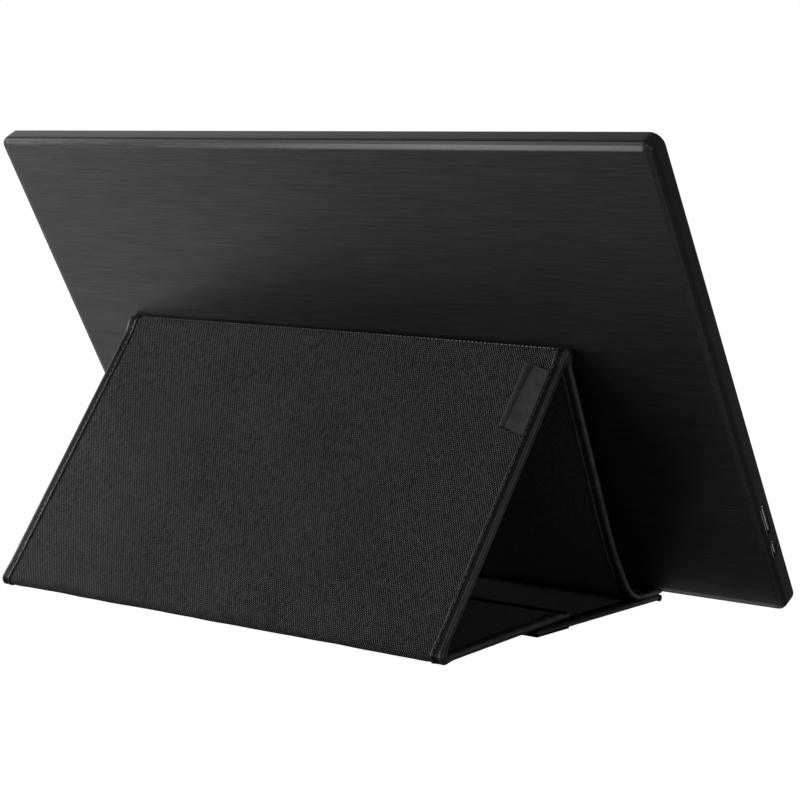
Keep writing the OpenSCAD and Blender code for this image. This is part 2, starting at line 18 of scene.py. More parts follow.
import bpy
import bmesh
import numpy as np
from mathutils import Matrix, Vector

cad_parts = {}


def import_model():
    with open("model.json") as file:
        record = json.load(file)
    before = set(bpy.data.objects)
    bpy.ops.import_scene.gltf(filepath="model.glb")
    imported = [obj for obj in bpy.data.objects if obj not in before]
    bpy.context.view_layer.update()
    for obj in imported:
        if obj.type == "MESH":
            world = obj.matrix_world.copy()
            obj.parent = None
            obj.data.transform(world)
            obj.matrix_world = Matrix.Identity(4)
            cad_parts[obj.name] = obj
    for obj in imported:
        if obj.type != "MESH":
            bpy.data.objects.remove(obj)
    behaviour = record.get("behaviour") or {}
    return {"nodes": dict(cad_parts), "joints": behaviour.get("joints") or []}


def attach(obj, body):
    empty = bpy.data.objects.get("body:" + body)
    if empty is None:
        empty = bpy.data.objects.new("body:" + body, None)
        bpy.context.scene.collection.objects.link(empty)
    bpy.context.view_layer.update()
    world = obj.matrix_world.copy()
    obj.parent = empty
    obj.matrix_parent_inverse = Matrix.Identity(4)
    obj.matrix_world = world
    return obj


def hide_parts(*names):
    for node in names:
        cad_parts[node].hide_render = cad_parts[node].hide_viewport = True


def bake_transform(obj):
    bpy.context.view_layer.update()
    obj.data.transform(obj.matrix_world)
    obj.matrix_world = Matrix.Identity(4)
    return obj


log = logging.getLogger("portable_monitor")

MM = 0.001
STRAIGHT = 1e-9
LEAN = 29.14
SHARP_ANGLE = math.radians(38)

# Short names of types that recur
Piece = bpy.types.Object
NodeSocket = bpy.types.NodeSocket
Pair = tuple[float, float]
Triple = tuple[float, float, float]
Placing = Callable[[np.ndarray], np.ndarray]


# -------- plain geometry


def unit(angle: float) -> np.ndarray:
    """Unit vector in the side view at an angle in degrees from +Y towards +Z."""
    a = math.radians(angle)
    return np.array([math.cos(a), math.sin(a)])


def arc_length(radius: float, turn: float) -> float:
    """Length of an arc of a radius through a turn in degrees."""
    return radius * math.radians(abs(turn))


@dataclass(frozen=True)
class Mark:
    """A place on a side profile: its point, and the direction of travel in degrees."""

    point: np.ndarray
    heading: float


def travel(start: np.ndarray, heading: float, runs: Sequence[Pair], step: float) -> list[Mark]:
    """Marks along a run of stretches.

    Args:
        start: The first point, as (y, z).
        heading: The first direction of travel, in degrees.
        runs: The stretches, each as its length and its turn in degrees.
        step: The distance between marks on a straight stretch; bends get four times as many.

    Returns:
        The marks, with both ends of the run.
    """
    marks, here = [], np.array(start, float)
    for length, turn in runs:
        count = max(1, math.ceil(length / (step / 4 if turn else step)))
        for k in range(count):
            point = ahead(here, heading, length * k / count, turn * k / count)
            marks.append(Mark(point, heading + turn * k / count))
        here, heading = ahead(here, heading, length, turn), heading + turn
    marks.append(Mark(here, heading))
    return marks


def ahead(here: np.ndarray, heading: float, length: float, turn: float) -> np.ndarray:
    """The place at the end of a straight or round stretch.

    Args:
        here: The place where it starts.
        heading: The direction in which it starts, in degrees.
        length: Its length.
        turn: How far it turns, in degrees.

    Returns:
        The end, as (y, z).
    """
    if abs(turn) < STRAIGHT:
        return here + length * unit(heading)
    radius = length / math.radians(turn)
    return here + radius * (unit(heading + turn - 90) - unit(heading - 90))


def lengths_along(points: np.ndarray) -> np.ndarray:
    """Distance of each point of a line from its first point."""
    return np.concatenate([[0.0], np.cumsum(np.linalg.norm(np.diff(points, axis=0), axis=1))])


def spread_evenly(points: Sequence[np.ndarray], count: int) -> np.ndarray:
    """Gives a line again by evenly spaced points.

    Args:
        points: The points of the line.
        count: The number of new points.

    Returns:
        The new points, one in each row.
    """
    line = np.array(points)
    along = lengths_along(line)
    wanted = np.linspace(0, along[-1], count)
    return np.column_stack([np.interp(wanted, along, column) for column in line.T])


def normals_of(points: np.ndarray) -> np.ndarray:
    """Normals of a line in the side view.

    Args:
        points: The line's points, as rows of (y, z).

    Returns:
        For each point a unit vector to the left of the direction of travel.
    """
    tangents = np.gradient(points, axis=0)
    tangents /= np.linalg.norm(tangents, axis=1)[:, None]
    return np.column_stack([-tangents[:, 1], tangents[:, 0]])


def stadium(length: float, width: float, per_end: int = 12) -> list[Pair]:
    """Outline with two half-round ends, about its middle.

    Args:
        length: Its length.
        width: Its width; an outline as wide as it is long is a circle.
        per_end: Number of steps round each end.

    Returns:
        The outline's points.
    """
    made = []
    for end, start in ((1, -90), (-1, 90)):
        for k in range(per_end + 1):
            c, s = unit(start + 180 * k / per_end)
            made.append((end * (length - width) / 2 + width / 2 * c, width / 2 * s))
    return made if length > width else made[:per_end] + made[per_end + 1:-1]


# -------- meshes


def build_piece(
    name: str, vertices: np.ndarray, faces: Iterable[Sequence[int]], uv: np.ndarray | None = None
) -> Piece:
    """A mesh object with smooth faces whose edges stay crisp where they turn by more than SHARP_ANGLE.

    Args:
        name: The object's name.
        vertices: One row of x, y and z for each vertex.
        faces: The corners of each face.
        uv: One row for each vertex: its place on the cloth, in metres.

    Returns:
        The new object, linked to the scene.
    """
    mesh = bpy.data.meshes.new(name)
    mesh.from_pydata([tuple(v) for v in vertices], [], [tuple(f) for f in faces])
    if uv is not None:
        corners = np.zeros(len(mesh.loops), np.int32)
        mesh.loops.foreach_get("vertex_index", corners)
        layer = mesh.uv_layers.new(name="cloth")
        layer.data.foreach_set("uv", np.asarray(uv, np.float32)[corners].ravel())
    piece = bpy.data.objects.new(name, mesh)
    bpy.context.scene.collection.objects.link(piece)
    tidy_mesh(piece)
    return piece


def tidy_mesh(piece: Piece) -> None:
    """Turns a piece's faces outwards, shades them smooth and marks its sharp edges.

    Args:
        piece: The piece, whose mesh is changed in place.
    """
    work = bmesh.new()
    work.from_mesh(piece.data)
    bmesh.ops.recalc_face_normals(work, faces=work.faces)
    for face in work.faces:
        face.smooth = True
    for edge in work.edges:
        edge.smooth = len(edge.link_faces) == 2 and edge.calc_face_angle(0.0) < SHARP_ANGLE
    work.to_mesh(piece.data)
    work.free()


def grid_faces(
    rows: int, columns: int, first: int = 0, wrap_rows: bool = False, wrap_columns: bool = False
) -> list[tuple[int, ...]]:
    """Four-sided faces of a grid of vertices that is stored row by row.

    Args:
        rows: Number of rows.
        columns: Number of columns.
        first: Number of the grid's first vertex.
        wrap_rows: Whether the last row joins the first.
        wrap_columns: Whether the last column joins the first.

    Returns:
        The faces.
    """

    def number(i: int, j: int) -> int:
        """Number of the vertex in a row and a column, which start again past the last one."""
        return first + i % rows * columns + j % columns

    return [
        (number(i, j), number(i, j + 1), number(i + 1, j + 1), number(i + 1, j))
        for i in range(rows if wrap_rows else rows - 1)
        for j in range(columns if wrap_columns else columns - 1)
    ]


def slab(name: str, top: np.ndarray, bottom: np.ndarray, uv: np.ndarray) -> Piece:
    """A closed sheet between two grids of points.

    Args:
        name: The piece's name.
        top: The upper grid, as rows by columns by 3.
        bottom: The lower grid, of the same size.
        uv: The place of each point of a grid on the cloth, as rows by columns by 2.

    Returns:
        The new piece.
    """
    rows, columns = top.shape[:2]
    low = rows * columns
    faces = grid_faces(rows, columns) + [f[::-1] for f in grid_faces(rows, columns, low)]
    rim = list(range(columns))
    rim += [i * columns + columns - 1 for i in range(1, rows)]
    rim += [(rows - 1) * columns + j for j in range(columns - 2, -1, -1)]
    rim += [i * columns for i in range(rows - 2, 0, -1)]
    faces += [(b, a, low + a, low + b) for a, b in zip(rim, rim[1:] + rim[:1])]
    vertices = np.concatenate([top.reshape(-1, 3), bottom.reshape(-1, 3)])
    return build_piece(name, vertices, faces, np.tile(uv.reshape(-1, 2), (2, 1)))


def loft(name: str, rings: np.ndarray, closed: bool = False, uv: np.ndarray | None = None) -> Piece:
    """A closed body through rings of points.

    Args:
        name: The piece's name.
        rings: The rings, as rings by points by 3.
        closed: Whether the last ring joins the first; flat ends close the body if not.
        uv: The place of each point on the cloth, as rings by points by 2.

    Returns:
        The new piece.
    """
    count, around = rings.shape[:2]
    faces = grid_faces(count, around, wrap_rows=closed, wrap_columns=True)
    if not closed:
        faces += [tuple(range(around - 1, -1, -1)), tuple(range((count - 1) * around, count * around))]
    return build_piece(name, rings.reshape(-1, 3), faces, None if uv is None else uv.reshape(-1, 2))


@dataclass(frozen=True)
class Stitch:
    """A stitch: its middle, its direction, and the normal of the surface that it lies on."""

    middle: np.ndarray
    along: np.ndarray
    normal: np.ndarray


# A stitch's thickness along it: shares of its length from its middle, and shares of the thread's thickness
SPINDLE = ((-0.5, 0.25), (-0.42, 0.8), (-0.2, 1.0), (0.2, 1.0), (0.42, 0.8), (0.5, 0.25))
STITCH_SIDES = 6
STITCH_ARCH = 0.35


def sew(name: str, stitches: Sequence[Stitch], length: float, width: float) -> Piece:
    """Many small stitches in one mesh, each a rounded spindle that is slightly arched.

    Args:
        name: The piece's name.
        stitches: Where the stitches are.
        length: The length of a stitch.
        width: The thickness of the thread.

    Returns:
        The new piece.
    """
    vertices, faces, uv = [], [], []
    for stitch in stitches:
        across = np.cross(stitch.along, stitch.normal)
        first = len(vertices)
        for share, full in SPINDLE:
            arch = width * STITCH_ARCH * (1 - (2 * share) ** 2)
            middle = stitch.middle + stitch.along * share * length + stitch.normal * arch
            for k in range(STITCH_SIDES):
                turn = 2 * math.pi * k / STITCH_SIDES
                out = math.cos(turn) * across + math.sin(turn) * stitch.normal
                vertices.append(middle + width / 2 * full * out)
                uv.append((share * length, turn * width / 2))
        faces += grid_faces(len(SPINDLE), STITCH_SIDES, first, wrap_columns=True)
        faces += [tuple(range(end, end + STITCH_SIDES)) for end in (first, len(vertices) - STITCH_SIDES)]
    return build_piece(name, np.array(vertices), faces, np.array(uv))


def rounded_box(name: str, low: Triple, high: Triple, radius: float, place: Placing | None = None) -> Piece:
    """A box with rounded edges.

    Args:
        name: The piece's name.
        low: Its lowest corner.
        high: Its highest corner.
        radius: How far the rounding of an edge reaches.
        place: What turns the box's points into points of the frame, if they aren't that already.

    Returns:
        The new piece.
    """
    work = bmesh.new()
    bmesh.ops.create_cube(work, size=1.0)
    for vertex in work.verts:
        for k in range(3):
            vertex.co[k] = low[k] if vertex.co[k] < 0 else high[k]
    bmesh.ops.bevel(work, geom=work.edges[:], offset=radius, segments=3, profile=0.5, affect="EDGES")
    vertices = np.array([tuple(v.co) for v in work.verts])
    if place:
        vertices = place(vertices)
    faces = [[v.index for v in f.verts] for f in work.faces]
    work.free()
    return build_piece(name, vertices, faces, vertices[:, :2])


def join(name: str, pieces: Sequence[Piece]) -> Piece:
    """One piece from several.

    Args:
        name: The new piece's name.
        pieces: The pieces that it is made of, which are deleted.

    Returns:
        The new piece.
    """
    vertices, faces = [], []
    for piece in pieces:
        first = len(vertices)
        vertices += [tuple(v.co) for v in piece.data.vertices]
        faces += [tuple(first + k for k in p.vertices) for p in piece.data.polygons]
        bpy.data.objects.remove(piece)
    return build_piece(name, np.array(vertices), faces, np.array(vertices)[:, :2])


def cut(piece: Piece, cutters: Sequence[Piece]) -> None:
    """Takes cutters away from a piece.

    Args:
        piece: The piece, which gets a new mesh.
        cutters: Closed bodies, which are deleted.
    """
    for cutter in cutters:
        modifier = piece.modifiers.new("cut", "BOOLEAN")
        modifier.operation, modifier.solver, modifier.object = "DIFFERENCE", "EXACT", cutter
        evaluated = piece.evaluated_get(bpy.context.evaluated_depsgraph_get())
        cut_mesh = bpy.data.meshes.new_from_object(evaluated)
        piece.modifiers.clear()
        piece.data = cut_mesh
        bpy.data.objects.remove(cutter)
    tidy_mesh(piece)


# -------- materials


class NodeTable:
    """A new material's node tree, with one Principled shader that its finish sets up."""

    def __init__(self, name: str) -> None:
        """Makes the material and its two first nodes.

        Args:
            name: The material's name.
        """
        self.material = bpy.data.materials.new(name)
        self.material.use_nodes = True
        self.tree = self.material.node_tree
        self.tree.nodes.clear()
        self.shader = self.add("ShaderNodeBsdfPrincipled")
        output = self.add("ShaderNodeOutputMaterial")
        self.join(self.shader.outputs["BSDF"], output.inputs["Surface"])

    def add(self, kind: str, values: dict | None = None, **settings: object) -> bpy.types.Node:
        """Adds a node.

        Args:
            kind: The node's type.
            values: Values of some of its sockets, by name.
            settings: Values of some of its settings.

        Returns:
            The new node.
        """
        node = self.tree.nodes.new(kind)
        for key, value in settings.items():
            setattr(node, key, value)
        for key, value in (values or {}).items():
            node.inputs[key].default_value = value
        return node

    def join(self, out: NodeSocket, into: NodeSocket) -> None:
        """Links two sockets."""
        self.tree.links.new(out, into)

    def set(self, **values: float) -> None:
        """Constants on the Principled shader's own sockets; an underscore stands for a space."""
        for key, value in values.items():
            self.shader.inputs[key.replace("_", " ")].default_value = value

    def math(self, operation: str, *inputs: object, clamp: bool = False) -> NodeSocket:
        """Adds a Math node.

        Args:
            operation: What it does.
            inputs: What it does it with: sockets or numbers.
            clamp: Whether the result is kept between 0 and 1.

        Returns:
            The socket with the result.
        """
        node = self.add("ShaderNodeMath", operation=operation, use_clamp=clamp)
        for k, value in enumerate(inputs):
            if isinstance(value, (int, float)):
                node.inputs[k].default_value = value
            else:
                self.join(value, node.inputs[k])
        return node.outputs[0]

    def product(self, first: object, second: object) -> NodeSocket:
        """The product of two sockets or numbers."""
        return self.math("MULTIPLY", first, second)

    def total(self, first: object, second: object) -> NodeSocket:
        """The sum of two sockets or numbers."""
        return self.math("ADD", first, second)

    def place(self, scale: float | Triple, lean: float = 0.0, uv: bool = False) -> NodeSocket:
        """Coordinates in metres times a scale.

        Args:
            scale: The factor along all axes, or the factors along X, Y and Z.
            lean: A turn about X that comes before the scale, in degrees.
            uv: Whether the coordinates are the place on the cloth, and not the place in the frame.

        Returns:
            The socket with the coordinates.
        """
        if uv:
            source = self.add("ShaderNodeUVMap", uv_map="cloth").outputs["UV"]
        else:
            source = self.add("ShaderNodeTexCoord").outputs["Object"]
        turned = self.add("ShaderNodeMapping", {"Rotation": (math.radians(lean), 0, 0)})
        self.join(source, turned.inputs["Vector"])
        sized = self.add("ShaderNodeVectorMath", operation="MULTIPLY")
        sized.inputs[1].default_value = scale if isinstance(scale, tuple) else (scale,) * 3
        self.join(turned.outputs["Vector"], sized.inputs[0])
        return sized.outputs["Vector"]

    def noise(self, at: NodeSocket, detail: float = 3.0, roughness: float = 0.55) -> NodeSocket:
        """Adds noise whose clouds are about as large as the unit of its coordinates.

        Args:
            at: The coordinates.
            detail: Number of finer layers in it.
            roughness: How strong the finer layers are.

        Returns:
            The socket with the noise, from 0 to 1.
        """
        node = self.add("ShaderNodeTexNoise", {"Scale": 1.0, "Detail": detail, "Roughness": roughness})
        self.join(at, node.inputs["Vector"])
        return node.outputs["Fac"]

    def cells(self, scale: float, **settings: object) -> NodeSocket:
        """Adds a pattern of cells.

        Args:
            scale: Number of cells in a metre.
            settings: Settings of the pattern.

        Returns:
            The socket with the distance from the middle of the nearest cell, in cells.
        """
        node = self.add("ShaderNodeTexVoronoi", {"Scale": 1.0}, feature="F1", **settings)
        self.join(self.place(scale), node.inputs["Vector"])
        return node.outputs["Distance"]

    def ramp(self, value: NodeSocket, stops: Sequence[tuple[float, Triple]]) -> NodeSocket:
        """Adds a run of colours.

        Args:
            value: What is turned into a colour.
            stops: Places on the run, each with its colour as three numbers.

        Returns:
            The socket with the colour.
        """
        node = self.add("ShaderNodeValToRGB")
        elements = node.color_ramp.elements
        while len(elements) < len(stops):
            elements.new(0.5)
        for element, (position, colour) in zip(elements, stops):
            element.position = position
            element.color = (*colour, 1.0)
        self.join(value, node.inputs["Fac"])
        return node.outputs["Color"]

    def between(self, value: NodeSocket, low: float, high: float) -> NodeSocket:
        """Makes a value that runs from 0 to 1 run between two others.

        Args:
            value: The socket with the value.
            low: What 0 becomes.
            high: What 1 becomes.

        Returns:
            The socket with the result.
        """
        node = self.add("ShaderNodeMapRange", {"To Min": low, "To Max": high})
        self.join(value, node.inputs["Value"])
        return node.outputs["Result"]

    def colour(self, socket: NodeSocket) -> None:
        """Sends a socket to the base colour."""
        self.join(socket, self.shader.inputs["Base Color"])

    def rough(self, socket: NodeSocket) -> None:
        """Sends a socket to the roughness."""
        self.join(socket, self.shader.inputs["Roughness"])

    def bump(self, height: NodeSocket, depth: float, strength: float) -> None:
        """Adds relief.

        Args:
            height: The socket with the height, from 0 to 1.
            depth: What a height of 1 stands for, in metres.
            strength: How much of the relief is shown.
        """
        node = self.add("ShaderNodeBump", {"Distance": depth, "Strength": strength})
        self.join(height, node.inputs["Height"])
        self.join(node.outputs["Normal"], self.shader.inputs["Normal"])


def grey(level: float, warm: float = 0.0) -> Triple:
    """A grey of a linear level, slightly warm or cool."""
    return (level * (1 + warm), level, level * (1 - warm))


def tinted(level: float, tint: Triple) -> Triple:
    """A tint at a linear level, with no part of it over 1."""
    return tuple(min(1.0, level * part) for part in tint)


@dataclass(frozen=True)
class Coating:
    """What all finishes share: the name of the material, and how it is made."""

    name: str

    def build(self) -> bpy.types.Material:
        """Makes the material.

        Returns:
            The new material.
        """
        table = NodeTable(self.name)
        self.lay(table)
        return table.material

    def lay(self, table: NodeTable) -> None:
        """Sets up the material's shader; each kind of finish has its own way."""
        raise NotImplementedError(self.name)


@dataclass(frozen=True)
class BrushedMetal(Coating):
    """Dark anodised metal with short hairlines along X. The sizes of its marks are given per metre."""

    dark: float = 0.04
    light: float = 0.084
    roughness: float = 0.33
    metallic: float = 0.9
    specular: float = 0.5
    lean: float = LEAN
    hairline: Triple = (55.0, 300.0, 2600.0)
    band: Triple = (20.0, 90.0, 900.0)
    cloud: Triple = (5.0, 12.0, 22.0)
    fine_share: float = 0.66
    relief: float = 0.02 * MM

    def lay(self, table: NodeTable) -> None:
        """Sets up the shader.

        Args:
            table: The nodes.
        """
        fine = table.noise(table.place(self.hairline, self.lean), 3.0, 0.75)
        broad = table.noise(table.place(self.band, self.lean), 2.0, 0.6)
        cloud = table.noise(table.place(self.cloud, self.lean), 1.0)
        mixed = table.total(table.product(fine, self.fine_share), table.product(broad, 1 - self.fine_share))
        shaded = table.total(mixed, table.between(cloud, -0.05, 0.05))
        middle = self.dark * 0.6 + self.light * 0.4
        stops = [(0.34, grey(self.dark)), (0.5, grey(middle)), (0.66, grey(self.light, 0.01))]
        table.colour(table.ramp(shaded, stops))
        table.rough(table.between(fine, self.roughness - 0.06, self.roughness + 0.08))
        table.bump(fine, self.relief, 0.3)
        table.set(Metallic=self.metallic, Specular_IOR_Level=self.specular, Anisotropic=0.4)


@dataclass(frozen=True)
class CutMetal(BrushedMetal):
    """The same metal where it is cut at a slope, which leaves longer and broader lines."""

    hairline: Triple = (16.0, 300.0, 300.0)
    band: Triple = (6.0, 90.0, 90.0)


@dataclass(frozen=True)
class SatinPlastic(Coating):
    """Moulded plastic with a fine spark-eroded texture."""

    level: float = 0.014
    roughness: float = 0.42
    grain: float = 1500.0
    specular: float = 0.5
    tint: Triple = (1.0, 1.0, 1.0)
    cloud: float = 35.0
    relief: float = 0.01 * MM

    def lay(self, table: NodeTable) -> None:
        """Sets up the shader.

        Args:
            table: The nodes.
        """
        grain = table.noise(table.place(self.grain), 2.0)
        cloud = table.noise(table.place(self.cloud), 2.0)
        low, high = (tinted(self.level * share, self.tint) for share in (0.82, 1.2))
        table.colour(table.ramp(cloud, [(0.3, low), (0.7, high)]))
        table.rough(table.between(grain, self.roughness - 0.05, self.roughness + 0.05))
        table.bump(grain, self.relief, 0.3)
        table.set(Specular_IOR_Level=self.specular)


@dataclass(frozen=True)
class WovenCloth(Coating):
    """Plain weave: one family of threads lies over the other in every second cell. Its colour follows the
    threads' height: painted highlights on the tops of the over threads, painted shade on the under threads
    and in the gaps between threads.
    """

    pitch: Pair = (0.6 * MM, 0.95 * MM)
    # Colours of the painted shade in the gaps, of the shaded under threads and of the highlit tops of the
    # over threads
    gap: float = 0.0006
    weft: float = 0.0025
    warp: float = 0.112
    relief: float = 0.16 * MM
    roughness: float = 0.85
    sheen: float = 0.02
    specular: float = 0.08
    wander: float = 1.3
    wander_scale: float = 0.27
    fuzz: Triple = (520.0, 260.0, 1.0)
    wear: Triple = (26.0, 26.0, 1.0)
    # How bright the under threads are against the over threads: painted shade
    under_share: float = 0.3

    def waves(self, table: NodeTable) -> list[NodeSocket]:
        """Waves that change sign from thread to thread, along lines that wander a little.

        Args:
            table: The material's nodes.

        Returns:
            The sockets of the waves across and along the cloth.
        """
        at = table.place((math.pi / self.pitch[0], math.pi / self.pitch[1], 1.0), uv=True)
        wander = table.add("ShaderNodeTexNoise", {"Scale": self.wander_scale, "Detail": 2.0})
        table.join(at, wander.inputs["Vector"])
        shift = table.add("ShaderNodeVectorMath", operation="MULTIPLY_ADD")
        shift.inputs[1].default_value = (self.wander, self.wander, 0.0)
        table.join(wander.outputs["Color"], shift.inputs[0])
        table.join(at, shift.inputs[2])
        parts = table.add("ShaderNodeSeparateXYZ")
        table.join(shift.outputs["Vector"], parts.inputs["Vector"])
        return [table.math("SINE", parts.outputs[axis]) for axis in ("X", "Y")]

    def lay(self, table: NodeTable) -> None:
        """Sets up the shader.

        Args:
            table: The nodes.
        """
        across, along = self.waves(table)
        over = table.math("GREATER_THAN", table.product(across, along), 0.0)
        a, b = table.math("ABSOLUTE", across), table.math("ABSOLUTE", along)
        warp = table.product(a, table.math("POWER", b, 0.4))
        weft = table.product(b, table.math("POWER", a, 0.4))
        under = table.math("SUBTRACT", 1.0, over)
        height = table.total(table.product(warp, over), table.product(weft, under))
        fuzz = table.noise(table.place(self.fuzz, uv=True), 3.0, 0.7)
        wear = table.noise(table.place(self.wear, uv=True), 2.0, 0.5)
        # Under threads painted darker, and colour following height: painted highlights on thread tops and
        # painted shade in the gaps, varied by random fuzz and wear
        shown = table.total(table.product(over, 1 - self.under_share), self.under_share)
        painted_light_and_fuzz = table.product(table.product(height, shown), table.between(fuzz, 0.0, 2.0))
        painted_light_and_fuzz = table.math("MULTIPLY", painted_light_and_fuzz, table.between(wear, 0.8, 1.2), clamp=True)
        stops = [(0.0, grey(self.gap)), (0.33, grey(self.weft)), (0.85, grey(self.warp))]
        table.colour(table.ramp(painted_light_and_fuzz, stops))
        table.rough(table.between(fuzz, self.roughness - 0.1, self.roughness + 0.1))
        table.bump(height, self.relief, 0.8)
        table.set(Sheen_Weight=self.sheen, Sheen_Roughness=0.45, Specular_IOR_Level=self.specular)


@dataclass(frozen=True)
class Leatherette(Coating):
    """Smooth imitation leather with a fine grain and slightly worn high spots."""

    level: float = 0.0016
    worn: float = 0.0034
    roughness: float = 0.44
    grain: float = 1900.0
    coat: float = 0.0
    specular: float = 0.06
    wear: float = 160.0
    crease: float = 650.0
    relief: float = 0.06 * MM

    def lay(self, table: NodeTable) -> None:
        """Sets up the shader.

        Args:
            table: The nodes.
        """
        grain = table.cells(self.grain)
        wear = table.noise(table.place(self.wear), 3.0, 0.6)
        creases = table.noise(table.place(self.crease), 3.0, 0.6)
        table.colour(table.ramp(wear, [(0.35, grey(self.level)), (0.75, grey(self.worn, 0.01))]))
        table.rough(table.between(creases, self.roughness - 0.09, self.roughness + 0.12))
        table.bump(table.total(table.product(grain, 0.5), table.product(creases, 0.8)), self.relief, 0.5)
        table.set(Coat_Weight=self.coat, Coat_Roughness=0.35, Specular_IOR_Level=self.specular)


@dataclass(frozen=True)
class PlatedMetal(Coating):
    """Sheet or turned metal with a thin bright plating."""

    level: float = 0.6
    roughness: float = 0.24
    lines: Triple = (600.0, 90.0, 600.0)
    tint: Triple = (1.0, 0.995, 0.98)

    def lay(self, table: NodeTable) -> None:
        """Sets up the shader.

        Args:
            table: The nodes.
        """
        lines = table.noise(table.place(self.lines), 3.0)
        low, high = (tinted(self.level * share, self.tint) for share in (0.8, 1.15))
        table.colour(table.ramp(lines, [(0.3, low), (0.7, high)]))
        table.rough(table.between(lines, self.roughness - 0.06, self.roughness + 0.08))
        table.set(Metallic=1.0)


@dataclass(frozen=True)
class DarkScreen(Coating):
    """Matt anti-glare film over a switched-off panel."""

    level: float = 0.006
    grain: float = 2600.0
    cloud: float = 6.0
    relief: float = 0.004 * MM

    def lay(self, table: NodeTable) -> None:
        """Sets up the shader.

        Args:
            table: The nodes.
        """
        grain = table.noise(table.place(self.grain), 1.0)
        cloud = table.noise(table.place(self.cloud), 1.0)
        low, high = tinted(self.level, (1.0, 1.0, 1.2)), tinted(self.level, (1.3, 1.35, 1.6))
        table.colour(table.ramp(cloud, [(0.3, low), (0.7, high)]))
        table.rough(table.between(grain, 0.24, 0.34))
        table.bump(grain, self.relief, 0.25)
        table.set(Coat_Weight=0.25, Coat_Roughness=0.3)


@dataclass(frozen=True)
class CircuitBoard(Coating):
    """Green solder mask with paler traces under it."""

    mask: Triple = (0.008, 0.06, 0.028)
    trace: Triple = (0.02, 0.13, 0.06)
    grain: float = 420.0

    def lay(self, table: NodeTable) -> None:
        """Sets up the shader.

        Args:
            table: The nodes.
        """
        traces = table.cells(self.grain, distance="CHEBYCHEV")
        table.colour(table.ramp(traces, [(0.35, self.mask), (0.42, self.trace), (0.48, self.mask)]))
        table.set(Roughness=0.3, Coat_Weight=0.4)


@dataclass(frozen=True)
class Thread(Coating):
    """Polyester sewing thread, with the twist of its plies."""

    level: float = 0.0035
    light: float = 0.009
    twist: float = 900.0
    relief: float = 0.05 * MM

    def lay(self, table: NodeTable) -> None:
        """Sets up the shader.

        Args:
            table: The nodes.
        """
        values = {"Scale": self.twist, "Distortion": 1.5, "Detail": 1.0}
        plies = table.add("ShaderNodeTexWave", values, wave_type="BANDS", bands_direction="DIAGONAL")
        table.join(table.add("ShaderNodeTexCoord").outputs["Object"], plies.inputs["Vector"])
        shade = table.ramp(plies.outputs["Fac"], [(0.2, grey(self.level)), (0.8, grey(self.light))])
        table.colour(shade)
        table.bump(plies.outputs["Fac"], self.relief, 0.5)
        table.set(Roughness=0.42, Sheen_Weight=0.2)


class Finish(Enum):
    """The finishes of this part. Each member's value builds its material."""

    BACK = BrushedMetal("brushed_back")
    SLOPE = CutMetal("cut_slope", dark=0.028, light=0.049, roughness=0.26)
    BEVEL = CutMetal("cut_bevel", dark=0.015, light=0.026, roughness=0.34)
    # A darker, duller copy of the edge metal for the end with the larger X: painted shade that hides the
    # reflection along that end
    SHADED_END_EDGE = BrushedMetal(
        "cut_end_edge", dark=0.022, light=0.036, roughness=0.5, metallic=0.2, specular=0.1
    )
    FRAME = SatinPlastic("frame_plastic", level=0.0125, roughness=0.66, specular=0.1)
    SCREEN = DarkScreen("screen_film")
    FABRIC = WovenCloth("cover_weave")
    LINING = WovenCloth("lining_weave", gap=0.006, weft=0.019, warp=0.06, relief=0.08 * MM)
    # The lining made darker where it lies under the monitor, on the base and the flap: painted shade
    SHADED_FLOOR_LINING = WovenCloth("shaded_floor_lining_weave", gap=0.006, weft=0.011, warp=0.034, relief=0.08 * MM)
    BINDING = Leatherette("edge_binding")
    # Lighter leatherette on the rounded rims and raised folded edges: painted highlight, with some rubbing
    RAISED = Leatherette("rubbed_highlit_edge", level=0.0055, worn=0.0125, roughness=0.4, specular=0.3)
    # Lighter copies of the binding and of its raised edge on the side towards the monitor and the inside of
    # the stand: painted light
    TURNED = Leatherette("lit_turned_binding", level=0.007, worn=0.014, roughness=0.5, specular=0.2)
    TURNED_RAISED = Leatherette("lit_turned_edge", level=0.022, worn=0.045, roughness=0.42, specular=0.3)
    LABEL = Leatherette("label_leather", level=0.027, worn=0.05, roughness=0.32, grain=2600.0, coat=0.3)
    # A much darker copy of the tab's leather for its folded side: painted shade
    SHADED_LABEL_SIDE = Leatherette(
        "label_side", level=0.0022, worn=0.004, roughness=0.5, grain=2600.0, specular=0.15
    )
    THREAD = Thread("sewing_thread")
    SEAM_THREAD = Thread("seam_thread", level=0.05, light=0.125)
    SOCKET = PlatedMetal("nickel_plating", level=0.72, roughness=0.2)
    CONTACT = PlatedMetal("contact_plating", level=0.45, roughness=0.25, tint=(1.0, 0.84, 0.5))
    SHROUD = PlatedMetal("tin_plating", level=0.8, roughness=0.3)
    STEEL = PlatedMetal("sheet_steel", level=0.45, roughness=0.38)
    BLADE = SatinPlastic("contact_blade", level=0.02, roughness=0.5)
    BUTTON = SatinPlastic("button_plastic", level=0.018, roughness=0.36)
    LENS = SatinPlastic("light_lens", level=0.6, roughness=0.25, specular=0.6)
    PANEL_WHITE = SatinPlastic("panel_film", level=0.75, roughness=0.5)
    ACRYLIC = SatinPlastic("acrylic_guide", level=0.7, roughness=0.12, tint=(0.96, 1.0, 1.0))
    PHOSPHOR = SatinPlastic("light_phosphor", level=0.7, roughness=0.5, tint=(1.0, 0.88, 0.4))
    TAPE = SatinPlastic("foam_tape", level=0.02, roughness=0.8, grain=700.0)
    FLEX = SatinPlastic("flex_film", level=0.35, roughness=0.35, tint=(1.0, 0.72, 0.3))
    BOARD = SatinPlastic("stiffener_board", level=0.16, roughness=0.85, grain=500.0, tint=(1.0, 0.86, 0.7))
    CIRCUIT = CircuitBoard("circuit_board")


